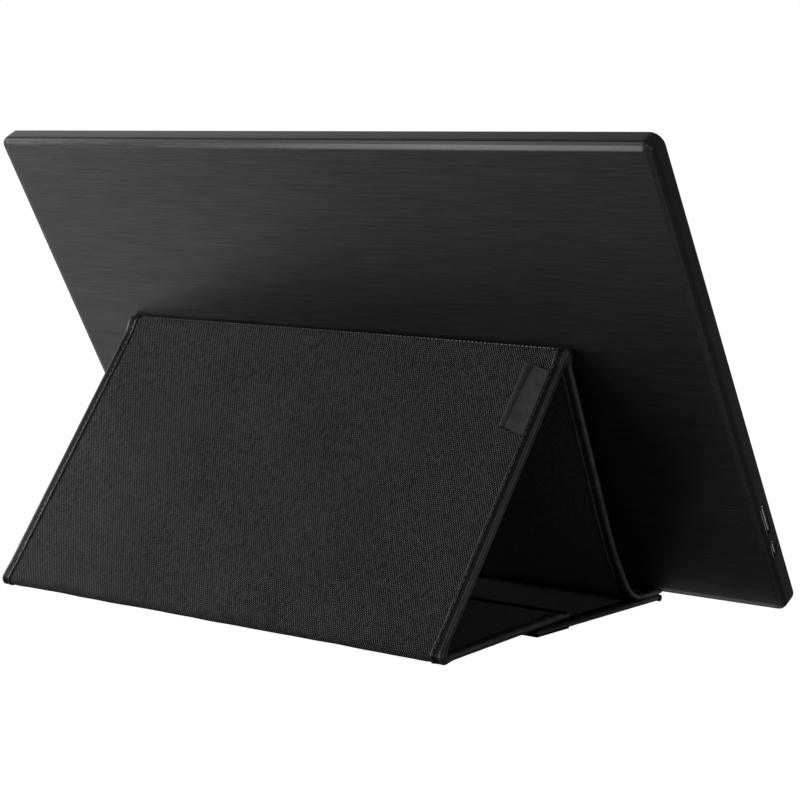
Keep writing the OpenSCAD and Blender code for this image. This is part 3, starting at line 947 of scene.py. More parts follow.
class Workshop:
    """Builds each finish once, dresses pieces with it, and logs the body that a piece rides on."""

    def __init__(self) -> None:
        """Starts with no material made."""
        self.made: dict[Finish, bpy.types.Material] = {}

    def material(self, finish: Finish) -> bpy.types.Material:
        """The material of a finish, which is built when it is first needed.

        Args:
            finish: The finish.

        Returns:
            Its one material.
        """
        if finish not in self.made:
            self.made[finish] = finish.value.build()
        return self.made[finish]

    def dress(self, piece: Piece, finish: Finish) -> None:
        """Gives a piece one finish all over."""
        piece.data.materials.clear()
        piece.data.materials.append(self.material(finish))

    def dress_part(self, piece: Piece, finish: Finish, chosen: Callable[[np.ndarray], bool]) -> None:
        """Gives another finish to some faces of a dressed piece.

        Args:
            piece: The piece.
            finish: The other finish.
            chosen: Whether a face gets it, from the face's middle.
        """
        piece.data.materials.append(self.material(finish))
        for face in piece.data.polygons:
            if chosen(np.array(face.center)):
                face.material_index = len(piece.data.materials) - 1

    def fit(self, piece: Piece, finish: Finish, slot: str, nodes: Sequence[str] = (), body: str = "") -> None:
        """Dresses a new piece, hides the CAD nodes that it stands for, and attaches it to its body if it has
        one.

        Args:
            piece: The piece.
            finish: The finish that it gets all over.
            slot: Its slot; not used.
            nodes: The CAD nodes that it stands for.
            body: The body that it rides on, for a piece that isn't carried by a stretch of the cover.
        """
        self.dress(piece, finish)
        if nodes:
            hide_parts(*nodes)
        if body:
            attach(piece, body)
            log.info("%s: %s", body, piece.name)


# -------- the monitor


@dataclass(frozen=True)
class Outline:
    """Rounded rectangle on the monitor, at a depth from its back face."""

    left: float
    right: float
    low: float
    high: float
    radius: float
    depth: float

    def points(self, per_corner: int = 10) -> np.ndarray:
        """Points along the outline, the same number for every outline.

        Args:
            per_corner: Number of steps round each corner.

        Returns:
            The points, as rows of (x, height, depth).
        """
        left, right = self.left + self.radius, self.right - self.radius
        low, high = self.low + self.radius, self.high - self.radius
        made = []
        for x, h, start in ((right, low, -90), (right, high, 0), (left, high, 90), (left, low, 180)):
            for k in range(per_corner + 1):
                c, s = unit(start + 90 * k / per_corner)
                made.append((x + self.radius * c, h + self.radius * s, self.depth))
        return np.array(made)


@dataclass(frozen=True)
class Port:
    """A socket in the monitor's side."""

    name: str
    height: float
    length: float
    contacts: int


# A long way along a flat face: enough to give a soft corner the face's direction
FAR = 20 * MM


@dataclass
class Monitor:
    """The slim monitor that leans in the cover.

    Places on it are (x, height, depth): the height goes up its back from its lower edge, and the depth from
    the flat of its back towards the screen. An inset is how far a line lies inside the case's outline.
    """

    shop: Workshop
    foot: np.ndarray
    lean: float = LEAN
    view_w: float = 344.2 * MM
    view_h: float = 193.6 * MM
    view_r: float = 0.25 * MM
    side_w: float = 18.85 * MM
    brow_h: float = 17.4 * MM
    chin_h: float = 25.5 * MM
    case_t: float = 9.2 * MM
    corner_r: float = 6 * MM
    least_r: float = 1.2 * MM
    bezel_t: float = 1.1 * MM
    bezel_edge: float = 0.25 * MM
    seam_d: float = 1.9 * MM
    seam_gap: float = 0.12 * MM
    draft: float = 0.25 * MM
    draft_d: float = 0.9 * MM
    ledge_w: float = 0.35 * MM
    bevel_w: float = 1.5 * MM
    slope_w: float = 2.1 * MM
    slope_d: float = 1.05 * MM
    tongue: tuple[Pair, ...] = (
        (0.0, -0.05 * MM), (0.8 * MM, 0.1 * MM), (0.8 * MM, 1.2 * MM), (1.8 * MM, 1.2 * MM)
    )
    wall: float = 1.6 * MM
    edge_r: float = 0.28 * MM
    slack: float = 0.05 * MM
    ports: tuple[Port, ...] = (Port("video", 48.6 * MM, 15 * MM, 9), Port("usb", 33 * MM, 8 * MM, 5))
    socket_t: float = 3.2 * MM
    socket_d: float = 2.3 * MM
    socket_gap: float = 0.2 * MM
    socket_cut: Pair = (-2 * MM, 6 * MM)
    contact_x: Pair = (0.9 * MM, 8 * MM)
    contact_d: Pair = (-0.62 * MM, -0.32 * MM)
    contact_w: float = 0.36 * MM
    contact_ends: float = 5 * MM
    shroud_x: Pair = (0.7 * MM, 1.3 * MM)
    shroud_d: Pair = (0.4 * MM, 0.8 * MM)
    button_w: float = 9 * MM
    button_h: float = 3.2 * MM
    buttons: int = 3
    button_play: float = 0.3 * MM
    button_at: float = 8.2 * MM
    button_pitch: float = 14 * MM
    button_edge: float = 15 * MM
    light_away: float = 9 * MM
    light_w: float = 1.6 * MM

    def __post_init__(self) -> None:
        """Works out the case's outer size, the foot of its sloping edge and the middle of its sockets."""
        self.case_w = self.view_w + 2 * self.side_w
        self.case_h = self.chin_h + self.view_h + self.brow_h
        self.inside_d = self.case_t - self.bezel_t
        self.foot_in = self.draft + self.ledge_w
        self.port_d = self.socket_d + self.socket_t / 2

    def row(self, local: np.ndarray) -> np.ndarray:
        """Turns places on the monitor into points of the frame.

        Args:
            local: Rows of (x, height, depth), in an array of any shape.

        Returns:
            Rows of (x, y, z), in an array of the same shape.
        """
        c, s = unit(self.lean)
        x, h, d = local[..., 0], local[..., 1], local[..., 2]
        return np.stack([x, self.foot[0] + h * s - d * c, self.foot[1] + h * c + d * s], axis=-1)

    def outline(self, inset: float, depth: float) -> Outline:
        """Outline of the case, drawn in by an inset."""
        side, radius = self.case_w / 2 - inset, max(self.corner_r - inset, self.least_r)
        return Outline(-side, side, inset, self.case_h - inset, radius, depth)

    def window(self, grow: float, depth: float) -> Outline:
        """Outline of the opening round the picture, made larger by an amount."""
        side, low, high = self.view_w / 2 + grow, self.chin_h - grow, self.chin_h + self.view_h + grow
        return Outline(-side, side, low, high, self.view_r + grow, depth)

    def rings(self, outlines: Sequence[Outline]) -> np.ndarray:
        """Rings of a loft through outlines, in the frame."""
        return np.array([self.row(o.points()) for o in outlines])

    def soft_corner(self, before: Pair, corner: Pair, after: Pair, radius: float) -> list[Outline]:
        """Outlines round an edge of the case.

        Args:
            before: Inset and depth of the face's start before the edge.
            corner: Inset and depth of the edge.
            after: Inset and depth of the face's end past the edge.
            radius: How far from the edge the rounding starts, on both faces.

        Returns:
            Outlines along a smooth curve past the edge.
        """
        p, q, r = (np.array(v) for v in (before, corner, after))
        start = q + (p - q) / np.linalg.norm(p - q) * radius
        end = q + (r - q) / np.linalg.norm(r - q) * radius
        curve = [(1 - t) ** 2 * start + 2 * t * (1 - t) * q + t * t * end for t in np.linspace(0, 1, 5)]
        return [self.outline(*point) for point in curve]

    def back_shell(self) -> None:
        """The brushed back, whose edge slopes down to the seam in a slope and a steeper bevel. At the end
        with the larger X the edge gets a darker, duller copy of its metal as painted shade.
        """
        foot_in, bevel_in = self.foot_in, self.foot_in + self.bevel_w
        top_in = bevel_in + self.slope_w
        flat, slope_top, bevel_top = (top_in + FAR, 0.0), (top_in, 0.0), (bevel_in, self.slope_d)
        bevel_foot, seam = (foot_in, self.seam_d - self.seam_gap), (foot_in, self.seam_d)
        outlines = [self.outline(top_in + self.edge_r * 3, 0.0)]
        outlines += self.soft_corner(flat, slope_top, bevel_top, self.edge_r * 1.6)
        outlines += self.soft_corner(slope_top, bevel_top, bevel_foot, self.edge_r * 0.6)
        outlines += self.soft_corner(bevel_top, bevel_foot, seam, self.seam_gap / 2)
        outlines += [self.outline(foot_in + inward, self.seam_d + down) for inward, down in self.tongue]
        piece = loft("back_shell", self.rings(outlines))
        self.shop.fit(piece, Finish.BACK, "back_metal", ["back_cover"], "monitor")
        end = self.case_w / 2 - top_in
        for finish, inner, outer, nearest in (
            (Finish.BEVEL, bevel_in, foot_in, -self.case_w),
            (Finish.SLOPE, top_in, bevel_in, -self.case_w),
            # The end with the larger X gets the darker, duller copy: painted shade
            (Finish.SHADED_END_EDGE, top_in, foot_in, end),
        ):
            self.shop.dress_part(piece, finish, lambda at: at[0] > nearest and self.on_edge(at, inner, outer))

    def on_edge(self, point: np.ndarray, inner: float, outer: float) -> bool:
        """Whether a point lies on the sloping edge of the back, between two insets.

        Args:
            point: The point, in the frame.
            inner: The inset of the upper line.
            outer: The inset of the lower line.

        Returns:
            True if it lies there.
        """
        c, s = unit(self.lean)
        y, z = point[1] - self.foot[0], point[2] - self.foot[1]
        h, d = y * s + z * c, -y * c + z * s
        inset = min(h, self.case_h - h, self.case_w / 2 - abs(point[0]))
        on_slope = self.slack < d < self.seam_d + 0.02 * MM
        return outer - self.slack <= inset <= inner - 2 * self.slack and on_slope

    def frame_shell(self) -> None:
        """The plastic frame: side walls, ledge and bezel, with its openings cut."""
        seam, wall_top = (self.foot_in, self.seam_d), (self.draft, self.seam_d)
        wall, front, face = (0.0, self.seam_d + self.draft_d), (0.0, self.case_t), (FAR, self.case_t)
        inner_in, groove_d = self.draft + self.wall, self.seam_d + self.seam_gap
        outlines = [self.window(0, self.inside_d), self.window(0, self.case_t - self.bezel_edge)]
        outlines.append(self.window(self.bezel_edge, self.case_t))
        outlines += reversed(self.soft_corner(wall, front, face, self.edge_r * 2.4))
        outlines += reversed(self.soft_corner(wall_top, wall, front, self.edge_r * 1.6))
        outlines += reversed(self.soft_corner(seam, wall_top, wall, self.edge_r * 0.7))
        groove = [(self.foot_in - self.slack, self.seam_d), (self.foot_in, groove_d), (inner_in, groove_d)]
        outlines += [self.outline(*point) for point in (*groove, (inner_in, self.inside_d))]
        piece = loft("frame_shell", self.rings(outlines), closed=True)
        cut(piece, self.openings())
        self.shop.fit(piece, Finish.FRAME, "frame_plastic", ["front_frame"], "monitor")

    def openings(self) -> list[Piece]:
        """Makes the solids that cut the sockets, the buttons and the light out of the frame.

        Returns:
            The solids.
        """
        cutters = []
        for port in self.ports:
            ring = stadium(port.length + 2 * self.socket_gap, self.socket_t + 2 * self.socket_gap)
            ends = [-self.case_w / 2 + x for x in self.socket_cut]
            rings = [[(x, port.height + a, self.port_d + b) for a, b in ring] for x in ends]
            cutters.append(loft(f"cut_{port.name}", self.row(np.array(rings))))
        ring = stadium(self.button_w + self.button_play, self.button_h + self.button_play)
        first_x = self.case_w / 2 - self.button_edge
        holes = [(f"cut_button_{k}", ring, first_x - k * self.button_pitch) for k in range(self.buttons)]
        light_x = first_x - (self.buttons - 1) * self.button_pitch - self.light_away
        holes.append(("cut_light", stadium(self.light_w, self.light_w), light_x))
        for name, ring, x in holes:
            ends = (self.inside_d - 1 * MM, self.case_t + 1 * MM)
            rings = [[(x + a, self.button_at + b, d) for a, b in ring] for d in ends]
            cutters.append(loft(name, self.row(np.array(rings))))
        return cutters

    def socket_insides(self) -> None:
        """Rows of plated contacts on one side of the blade in each socket, and a shroud on its other side."""

        def block(name: str, reach: Pair, middle: float, half: float, depths: Pair, radius: float) -> Piece:
            """A block with a reach into the side, a middle and half length in height, and depths."""
            corners = zip(reach, (-half, half), depths)
            low, high = ((x - self.case_w / 2, middle + h, self.port_d + d) for x, h, d in corners)
            return rounded_box(name, low, high, radius, self.row)

        for port in self.ports:
            contacts = []
            for k in range(port.contacts):
                at = port.height + (port.length - self.contact_ends) * (k / (port.contacts - 1) - 0.5)
                name, half = f"{port.name}_contact_{k}", self.contact_w / 2
                contacts.append(block(name, self.contact_x, at, half, self.contact_d, 0.05 * MM))
            row = join(f"{port.name}_contacts", contacts)
            name, half = f"{port.name}_shroud", (port.length - self.socket_t) / 2
            shroud = block(name, self.shroud_x, port.height, half, self.shroud_d, 0.1 * MM)
            self.shop.fit(row, Finish.CONTACT, "socket_steel", body="monitor")
            self.shop.fit(shroud, Finish.SHROUD, "socket_steel", body="monitor")

    def dress_nodes(self, nodes: dict[str, Piece]) -> None:
        """Gives every CAD piece of the monitor that stays its own finish.

        Args:
            nodes: The CAD pieces by name.
        """
        finishes = {
            Finish.SCREEN: ["lcd_cell"],
            Finish.PANEL_WHITE: ["diffuser_films", "reflector_sheet"],
            Finish.ACRYLIC: ["light_guide"],
            Finish.PHOSPHOR: ["led_strip"],
            Finish.STEEL: ["panel_tray", "shield_can", "board_screws", "key_switches"],
            Finish.TAPE: ["panel_tape"],
            Finish.CIRCUIT: ["driver_board", "main_board", "key_board"],
            Finish.FLEX: ["panel_flex"],
            Finish.SOCKET: ["video_socket", "usb_socket"],
            Finish.BLADE: ["video_tongue", "usb_tongue"],
            Finish.LENS: ["status_light"],
            Finish.BUTTON: ["power_button", "plus_button", "minus_button"],
        }
        for finish, names in finishes.items():
            for name in names:
                self.shop.dress(nodes[name], finish)

    def build(self, nodes: dict[str, Piece]) -> None:
        """Makes the monitor's pieces.

        Args:
            nodes: The CAD pieces by name.
        """
        self.dress_nodes(nodes)
        self.back_shell()
        self.frame_shell()
        self.socket_insides()


# -------- the cover


class Side(Enum):
    """The two faces of the cover, each with the name of its cloth and the slot of that cloth."""

    OUTER = ("fabric", "woven_fabric")
    INNER = ("lining", "lining_fabric")


@dataclass
class Rails:
    """A stretch of the cover in side view: pairs of points on the outer and inner cloth."""

    outer: np.ndarray
    inner: np.ndarray

    def __post_init__(self) -> None:
        """Works out the normals, and counts the places along the cloth from the stretch's start."""
        self.outer_n, self.inner_n = normals_of(self.outer), -normals_of(self.inner)
        self.count_from(0.0, 0.0)

    def count_from(self, outer_at: float, inner_at: float) -> None:
        """Counts the places along the two cloths from given ones, so that a weave runs on over a fold."""
        self.outer_s = outer_at + lengths_along(self.outer)
        self.inner_s = inner_at + lengths_along(self.inner)

    def line(self, side: Side) -> tuple[np.ndarray, np.ndarray, np.ndarray]:
        """One face of the stretch.

        Args:
            side: The face.

        Returns:
            Its points, its normals and their places along the cloth.
        """
        if side is Side.OUTER:
            return self.outer, self.outer_n, self.outer_s
        return self.inner, self.inner_n, self.inner_s

    def spot(self, side: Side, s: float) -> tuple[np.ndarray, np.ndarray]:
        """A place on one face.

        Args:
            side: The face.
            s: The place along its cloth.

        Returns:
            The point and its unit normal, as (y, z).
        """
        points, normals, along = self.line(side)
        point = np.array([np.interp(s, along, part) for part in points.T])
        normal = np.array([np.interp(s, along, part) for part in normals.T])
        return point, normal / np.linalg.norm(normal)


@dataclass
class Stretch:
    """A stretch of the cover, with the bodies that carry it and the CAD nodes that it stands for."""

    name: str
    bodies: tuple[str, ...]
    rails: Rails
    cloth_nodes: dict[Side, tuple[str, ...]]
    binding_nodes: tuple[str, ...]
    rests_on: str
    fabrics: dict[Side, Finish]
    bend: tuple[np.ndarray, np.ndarray] | None = None

    @property
    def smooth(self) -> bool:
        """Whether the binding lies flat here, without a raised edge and stitches."""
        return self.name in ("base", "trough", "heel_fold", "flap")


# How finely the pieces are divided
CLOTH_COLUMNS, FOLD_ROWS, STRIP_ROWS, HEM_ROWS, LABEL_ROWS = 89, 34, 60, 70, 29

# Soft waves of the cloth: height, lengths along X and along the profile, all in mm, and phase
CLOTH_WAVES = ((0.07, 83, 141, 0.4), (0.05, -57, 74, 2.1), (0.04, 29, -47, 4.0), (0.03, 21, 33, 1.2))

# The binding's raised folded edge and the groove of its stitches: distance from its edge and height, in mm
RAISED_EDGE = ((0.0, 0.0), (0.04, 0.3), (0.22, 0.5), (0.6, 0.58), (0.98, 0.5), (1.16, 0.16), (1.6, 0.14))


def widened(x: np.ndarray, line: np.ndarray) -> np.ndarray:
    """Grid of (x, y, z): a line of (y, z) carried over places in X, with a row for each of its points."""
    return np.stack([x, *(np.broadcast_to(part[:, None], x.shape) for part in line.T)], axis=-1)


@dataclass
class Cover:
    """The fabric cover, folded into a stand.

    In side view it is a middle line of points (y, z) with a heading in degrees, and its outer face lies to
    the left of the direction of travel. Slopes and turns are in degrees.
    """

    shop: Workshop
    leg_axis: np.ndarray
    ridge_axis: np.ndarray
    rear_axis: np.ndarray
    lean: float = LEAN
    width: float = 266.5 * MM
    shift: float = 13 * MM
    board_t: float = 1.0 * MM
    skin_t: float = 0.5 * MM
    skin_gap: float = 0.02 * MM
    binding_t: float = 0.35 * MM
    binding_w: float = 5.8 * MM
    ridge_swell: float = 1.3 * MM
    thin_share: float = 0.5
    leg_slope: float = 67.3
    rear_slope: float = 53.1
    heel_slope: float = 56.0
    heel_r: float = 14 * MM
    floor_l: float = 14.346 * MM
    lip_r: float = 3 * MM
    lip_h: float = 7 * MM
    leg_foot: float = 36 * MM
    leg_straight: float = 84.5 * MM
    flap_l: float = 88.65 * MM
    flap_rise: float = 2.619
    ridge_r: float = 1.85 * MM
    ridge_lift: float = 0.2 * MM
    ridge_fullness: float = 0.32
    ridge_clear: float = 3.3 * MM
    rear_fullness: float = 0.47 * MM
    crease_r: float = 0.7 * MM
    fold_reach: float = 8 * MM
    heel_reach: float = 6 * MM
    bend_reach: float = 1.2 * MM
    heel_share: float = 0.9
    closing_turn: float = 25
    rest_gap: float = 0.3 * MM
    step: float = 2.5 * MM
    dip_t: float = 0.1 * MM
    dip_w: float = 1.5 * MM
    bulge_t: float = 0.16 * MM
    bulge_at: float = 5 * MM
    bulge_w: float = 4 * MM
    waves_in: float = 8 * MM
    inner_share: float = 0.7
    rim_w: float = 1.6 * MM
    rib_w: float = 1.17 * MM
    crest_w: float = 1.0 * MM
    groove_w: float = 1.8 * MM
    crest_ripple: float = 0.09 * MM
    ripple: float = 0.02 * MM
    ripple_from: float = 0.3 * MM
    thin_for: float = 3 * MM
    thin_fade: float = 9 * MM
    stitch_pitch: float = 3.1 * MM
    stitch_l: float = 2.3 * MM
    stitch_in: float = 1.38 * MM
    stitch_up: float = 0.18 * MM
    thread_t: float = 0.42 * MM
    ridge_pitch: float = 2.3 * MM
    ridge_stitch_l: float = 1.426 * MM
    seam_thread_t: float = 0.44 * MM
    seam_up: float = 0.12 * MM
    seam_share: float = 0.56
    seam_drift: float = 0.07
    pad_w: float = 24 * MM
    pad_t: float = 0.45 * MM
    base_reach: float = 83 * MM
    hem_r: float = 1.6 * MM
    hem_ripple: float = 0.012
    hem_wave: float = 4.1 * MM
    strip_w: float = 4.2 * MM
    strip_ripple: float = 0.03 * MM
    label_w: float = 14 * MM
    label_l: float = 32 * MM
    label_t: float = 0.55 * MM
    label_fold: float = 6.4 * MM
    label_taper: float = 1.9 * MM
    label_root: float = 0.75 * MM
    label_rise: float = 2.6 * MM
    label_down: float = 4.7 * MM
    label_skew: float = 3.2 * MM

    def __post_init__(self) -> None:
        """Works out thicknesses, the ends and the places of the folds."""
        self.x0, self.x1 = self.shift - self.width / 2, self.shift + self.width / 2
        self.half_core = self.board_t / 2 + self.skin_t
        self.half_edge = self.half_core + self.binding_t
        c, s = unit(self.heel_slope)
        self.bend_start = self.leg_axis - self.heel_r * np.array([s, 1 - c])
        self.base_z = self.pad_t + self.half_edge
        self.flap_heading = 180 - self.flap_rise
        self.label_x0 = self.x0 + self.binding_w - 0.6 * MM
        self.label_x1 = self.x0 + self.binding_w + self.label_w

    # ---- side profile

    def band(self, marks: Sequence[Mark]) -> Rails:
        """The cloth of a plain stretch.

        Args:
            marks: The stretch's middle line.

        Returns:
            Its outer and inner cloth.
        """
        middle = np.array([m.point for m in marks])
        normal = np.array([unit(m.heading + 90) for m in marks])
        return Rails(middle + normal * self.half_core, middle - normal * self.half_core)

    def trough_marks(self) -> list[Mark]:
        """Middle line from the top of the lip to the start of the heel's fold.

        Returns:
            Its marks.
        """
        round_lip = (arc_length(self.lip_r, 90 + self.lean), -90 - self.lean)
        front = travel(self.bend_start, 180, [(self.floor_l, 0), round_lip, (self.lip_h, 0)], self.step)
        front = [Mark(m.point, m.heading - 180) for m in reversed(front)]
        arc = arc_length(self.heel_r, self.heel_slope)
        length = arc - self.heel_reach
        rear = travel(self.bend_start, 0, [(length, self.heel_slope * (length / arc))], self.step)
        return front[:-1] + rear

    def heel_marks(self) -> list[Mark]:
        """Middle line across the fold at the leg's foot.

        Returns:
            Its marks.
        """
        start = self.trough_marks()[-1]
        turn = self.heel_slope * self.heel_reach / arc_length(self.heel_r, self.heel_slope)
        foot_turn = (self.leg_slope - self.heel_slope) * self.heel_reach / self.leg_foot
        runs = [(self.heel_reach, turn), (self.heel_reach, foot_turn)]
        return travel(start.point, start.heading, runs, self.step)

    def leg_marks(self) -> list[Mark]:
        """Middle line from the heel's fold up to the ridge's.

        Returns:
            Its marks.
        """
        start = self.heel_marks()[-1]
        foot = (self.leg_foot - self.heel_reach, self.leg_slope - start.heading)
        runs = [foot, (self.leg_straight - self.fold_reach, 0)]
        return travel(start.point, start.heading, runs, self.step)

    def rear_marks(self) -> list[Mark]:
        """Middle line from the ridge down to the rear fold.

        Returns:
            Its marks.
        """
        foot = self.rear_axis + self.half_edge * unit(90 - self.rear_slope)
        length = float(np.linalg.norm(foot - self.ridge_axis))
        start = self.ridge_axis + self.fold_reach * unit(-self.rear_slope)
        return travel(start, -self.rear_slope, [(length - 2 * self.fold_reach, 0)], self.step)

    def flap_marks(self) -> list[Mark]:
        """Middle line from the rear fold to the flap's free edge.

        Returns:
            Its marks.
        """
        root = self.rear_axis + self.half_edge * unit(self.flap_heading + 90)
        start = root + self.fold_reach * unit(self.flap_heading)
        return travel(start, self.flap_heading, [(self.flap_l - self.fold_reach, 0)], self.step)

    def ease(self, away: float) -> float:
        """A share that falls smoothly from 1 at a fold's axis to 0 at its reach."""
        return (1 + math.cos(math.pi * min(1.0, abs(away) / self.fold_reach))) / 2

    def crease(
        self, axis: np.ndarray, before: float, after: float, off: float, slant: float
    ) -> list[np.ndarray]:
        """The cloth inside a fold: straight, round a small hollow, and straight again.

        Args:
            axis: The fold's axis.
            before: Heading of the stretch before the fold.
            after: Heading of the stretch after it.
            off: How far the cloth lies from the axis, to the left of the direction of travel.
            slant: How far from the axis the hollow starts, along both stretches.

        Returns:
            The points of the cloth.
        """
        half_turn = (before - after) / 2
        deep = (self.crease_r - off) / math.cos(math.radians(half_turn))
        hollow = axis - unit(before + 90 - half_turn) * deep
        straight = np.linspace(self.fold_reach, slant, 6)
        points = [axis - unit(before) * t + off * unit(before + 90) for t in straight]
        points += [hollow + self.crease_r * unit(before + 90 - 2 * half_turn * k / 8) for k in range(1, 8)]
        return points + [axis + unit(after) * t + off * unit(after + 90) for t in reversed(straight)]

    def ridge_rails(self) -> Rails:
        """The cloth over the ridge, which is fuller than the panels, and the crease under it.

        Returns:
            The outer and inner cloth.
        """
        half_turn = (self.leg_slope + self.rear_slope) / 2
        left = self.leg_slope + 90
        opening = math.cos(math.radians(half_turn))
        centre = self.ridge_axis + unit(left - half_turn) * self.ridge_lift / opening

        def radius(k: int) -> float:
            """How full the ridge is at a step of its arc of 16 steps, most of all near the leg."""
            return self.ridge_r * (1 + self.ridge_fullness * math.exp(-(((k - 4) / 4.5) ** 2)))

        def side(along: np.ndarray, out: np.ndarray, full: float, t: float) -> np.ndarray:
            """A point beside the arc, which eases from the arc's fullness to the panel's."""
            swell = full + self.ridge_lift - self.half_core
            return self.ridge_axis + along * t + out * (self.half_core + swell * self.ease(t))

        legs = [self.fold_reach * (1 - k / 8) for k in range(8)]
        outer = [side(-unit(self.leg_slope), unit(left), radius(0), t) for t in legs]
        outer += [centre + radius(k) * unit(left - 2 * half_turn * k / 16) for k in range(17)]
        down, right = unit(-self.rear_slope), unit(90 - self.rear_slope)
        outer += [side(down, right, self.ridge_r, t) for t in reversed(legs)]
        slant = (self.half_core + self.crease_r) * math.tan(math.radians(half_turn))
        inner = self.crease(self.ridge_axis, self.leg_slope, -self.rear_slope, -self.half_core, slant)
        return Rails(spread_evenly(outer, FOLD_ROWS), spread_evenly(inner, FOLD_ROWS))

    def rear_fold_rails(self) -> Rails:
        """The cloth round the rear fold, which is a little fuller in its middle, and the crease inside it.

        Returns:
            The outer and inner cloth.
        """
        before, after = -self.rear_slope, self.flap_heading - 360
        near, far = self.half_edge + self.half_core, self.half_edge - self.half_core

        def reach(t: float) -> float:
            """How far the outer cloth lies from the axis, at a distance along a stretch."""
            return near + self.rear_fullness * self.ease(t)

        straight = np.linspace(self.fold_reach, 0, 7)[:-1]
        outer = [self.rear_axis - unit(before) * t + reach(t) * unit(before + 90) for t in straight]
        turns = [before + 90 + (after - before) * k / 20 for k in range(21)]
        outer += [self.rear_axis + reach(0) * unit(turn) for turn in turns]
        outer += [self.rear_axis + unit(after) * t + reach(t) * unit(after + 90) for t in reversed(straight)]
        slant = self.crease_r * math.tan(math.radians((before - after) / 2))
        inner = self.crease(self.rear_axis, before, after, far, slant)
        return Rails(spread_evenly(outer, FOLD_ROWS + 2), spread_evenly(inner, FOLD_ROWS + 2))

    # ---- stretches

    def panel(
        self, name: str, body: str, marks: Sequence[Mark], nodes: Sequence[str] = (),
        fabrics: tuple[Finish, Finish] = (Finish.FABRIC, Finish.LINING),
    ) -> Stretch:
        """A stretch with a board of its own.

        Args:
            name: The stretch's name, with which the names of its CAD nodes start.
            body: The body that carries it.
            marks: Its middle line.
            nodes: The CAD nodes of its outer and inner cloth, where they have names of their own.
            fabrics: The finishes of its outer and inner cloth.

        Returns:
            The stretch.
        """
        outer, inner = nodes or (f"{name}_fabric", f"{name}_lining")
        return Stretch(
            name, (body,), self.band(marks), {Side.OUTER: (outer,), Side.INNER: (inner,)},
            (f"{name}_binding",), f"{name}_board", dict(zip(Side, fabrics)),
        )

    def fold(
        self, name: str, bodies: tuple[str, str], rails: Rails, roll: str, board: str,
        bend: tuple[np.ndarray, np.ndarray],
    ) -> Stretch:
        """A stretch over a fold, between the two bodies that the fold joins.

        Args:
            name: The stretch's name.
            bodies: The two bodies.
            rails: Its outer and inner cloth.
            roll: The CAD node that its outer cloth stands for.
            board: The board that it rests on.
            bend: The fold's axis, and from there to where the bend ends.

        Returns:
            The stretch.
        """
        axis, reach = bend
        fabrics = {Side.OUTER: Finish.FABRIC, Side.INNER: Finish.LINING}
        nodes = {Side.OUTER: (roll,), Side.INNER: ()}
        return Stretch(name, bodies, rails, nodes, (), board, fabrics, (axis - reach, axis + reach))

    def stretches(self) -> list[Stretch]:
        """All stretches of the cover but the base, each starting on the cloth where the last one ends.

        Returns:
            The stretches, in the order of the profile.
        """
        heel = unit(self.heel_slope) * self.heel_reach * self.heel_share
        ridge = np.array([self.bend_reach, 0.0])
        closing = -self.rear_slope - (self.flap_rise + self.rear_slope) / 2 - self.closing_turn
        rear = unit(closing) * self.bend_reach
        # The flap's inner face gets the darker lining: painted shade
        floor = (Finish.FABRIC, Finish.SHADED_FLOOR_LINING)
        made = [
            self.panel("trough", "base", self.trough_marks(), ("trough_fabric", "trough_backing")),
            self.fold("heel_fold", ("base", "leg"), self.band(self.heel_marks()), "leg_fold_roll",
                      "trough_board", (self.leg_axis, heel)),
            self.panel("leg", "leg", self.leg_marks()),
            self.fold("ridge_fold", ("leg", "rear_panel"), self.ridge_rails(), "ridge_roll",
                      "leg_board", (self.ridge_axis, ridge)),
            self.panel("rear", "rear_panel", self.rear_marks()),
            self.fold("rear_fold", ("rear_panel", "flap"), self.rear_fold_rails(), "rear_fold_roll",
                      "rear_board", (self.rear_axis, rear)),
            self.panel("flap", "flap", self.flap_marks(), fabrics=floor),
        ]
        for before, after in zip(made, made[1:]):
            after.rails.count_from(before.rails.outer_s[-1], before.rails.inner_s[-1])
        return made

    # ---- pieces of a stretch

    def relief(self, x: np.ndarray, along: np.ndarray, side: Side) -> np.ndarray:
        """How far the cloth stands off its board: taut at the binding, with soft long waves.

        Args:
            x: Places over the width.
            along: Places along the cloth, in an array of the same shape.
            side: The face; the inner one is calmer.

        Returns:
            The height at each place.
        """
        inside = np.minimum(x - self.x0 - self.binding_w, self.x1 - self.binding_w - x)
        dip = -self.dip_t * np.exp(-((inside / self.dip_w) ** 2))
        bulge = self.bulge_t * np.exp(-(((inside - self.bulge_at) / self.bulge_w) ** 2))
        waves = sum(
            height * MM * np.sin(2 * math.pi * (x / (long * MM) + along / (wide * MM)) + phase)
            for height, long, wide, phase in CLOTH_WAVES
        )
        shown = np.where(inside > 0, waves, 0) * np.clip(inside / self.waves_in, 0, 1)
        return (dip + bulge + shown) * (1.0 if side is Side.OUTER else self.inner_share)

    def cloth(self, stretch: Stretch, side: Side) -> Piece:
        """Makes the fabric or lining of a stretch.

        Args:
            stretch: The stretch.
            side: The face that the cloth is on.

        Returns:
            The new piece.
        """
        points, normals, along = stretch.rails.line(side)
        ends = self.binding_t + 0.1 * MM
        x, s = np.meshgrid(np.linspace(self.x0 + ends, self.x1 - ends, CLOTH_COLUMNS), along)
        flat, out = widened(x, points), widened(np.zeros_like(x), normals)
        top = flat + out * self.relief(x, s, side)[..., None]
        bottom = flat - out * (self.skin_t - self.skin_gap)
        word, slot = side.value
        piece = slab(f"{stretch.name}_{word}_cloth", top, bottom, np.stack([x, s], axis=-1))
        self.shop.fit(piece, stretch.fabrics[side], slot, stretch.cloth_nodes[side])
        return piece

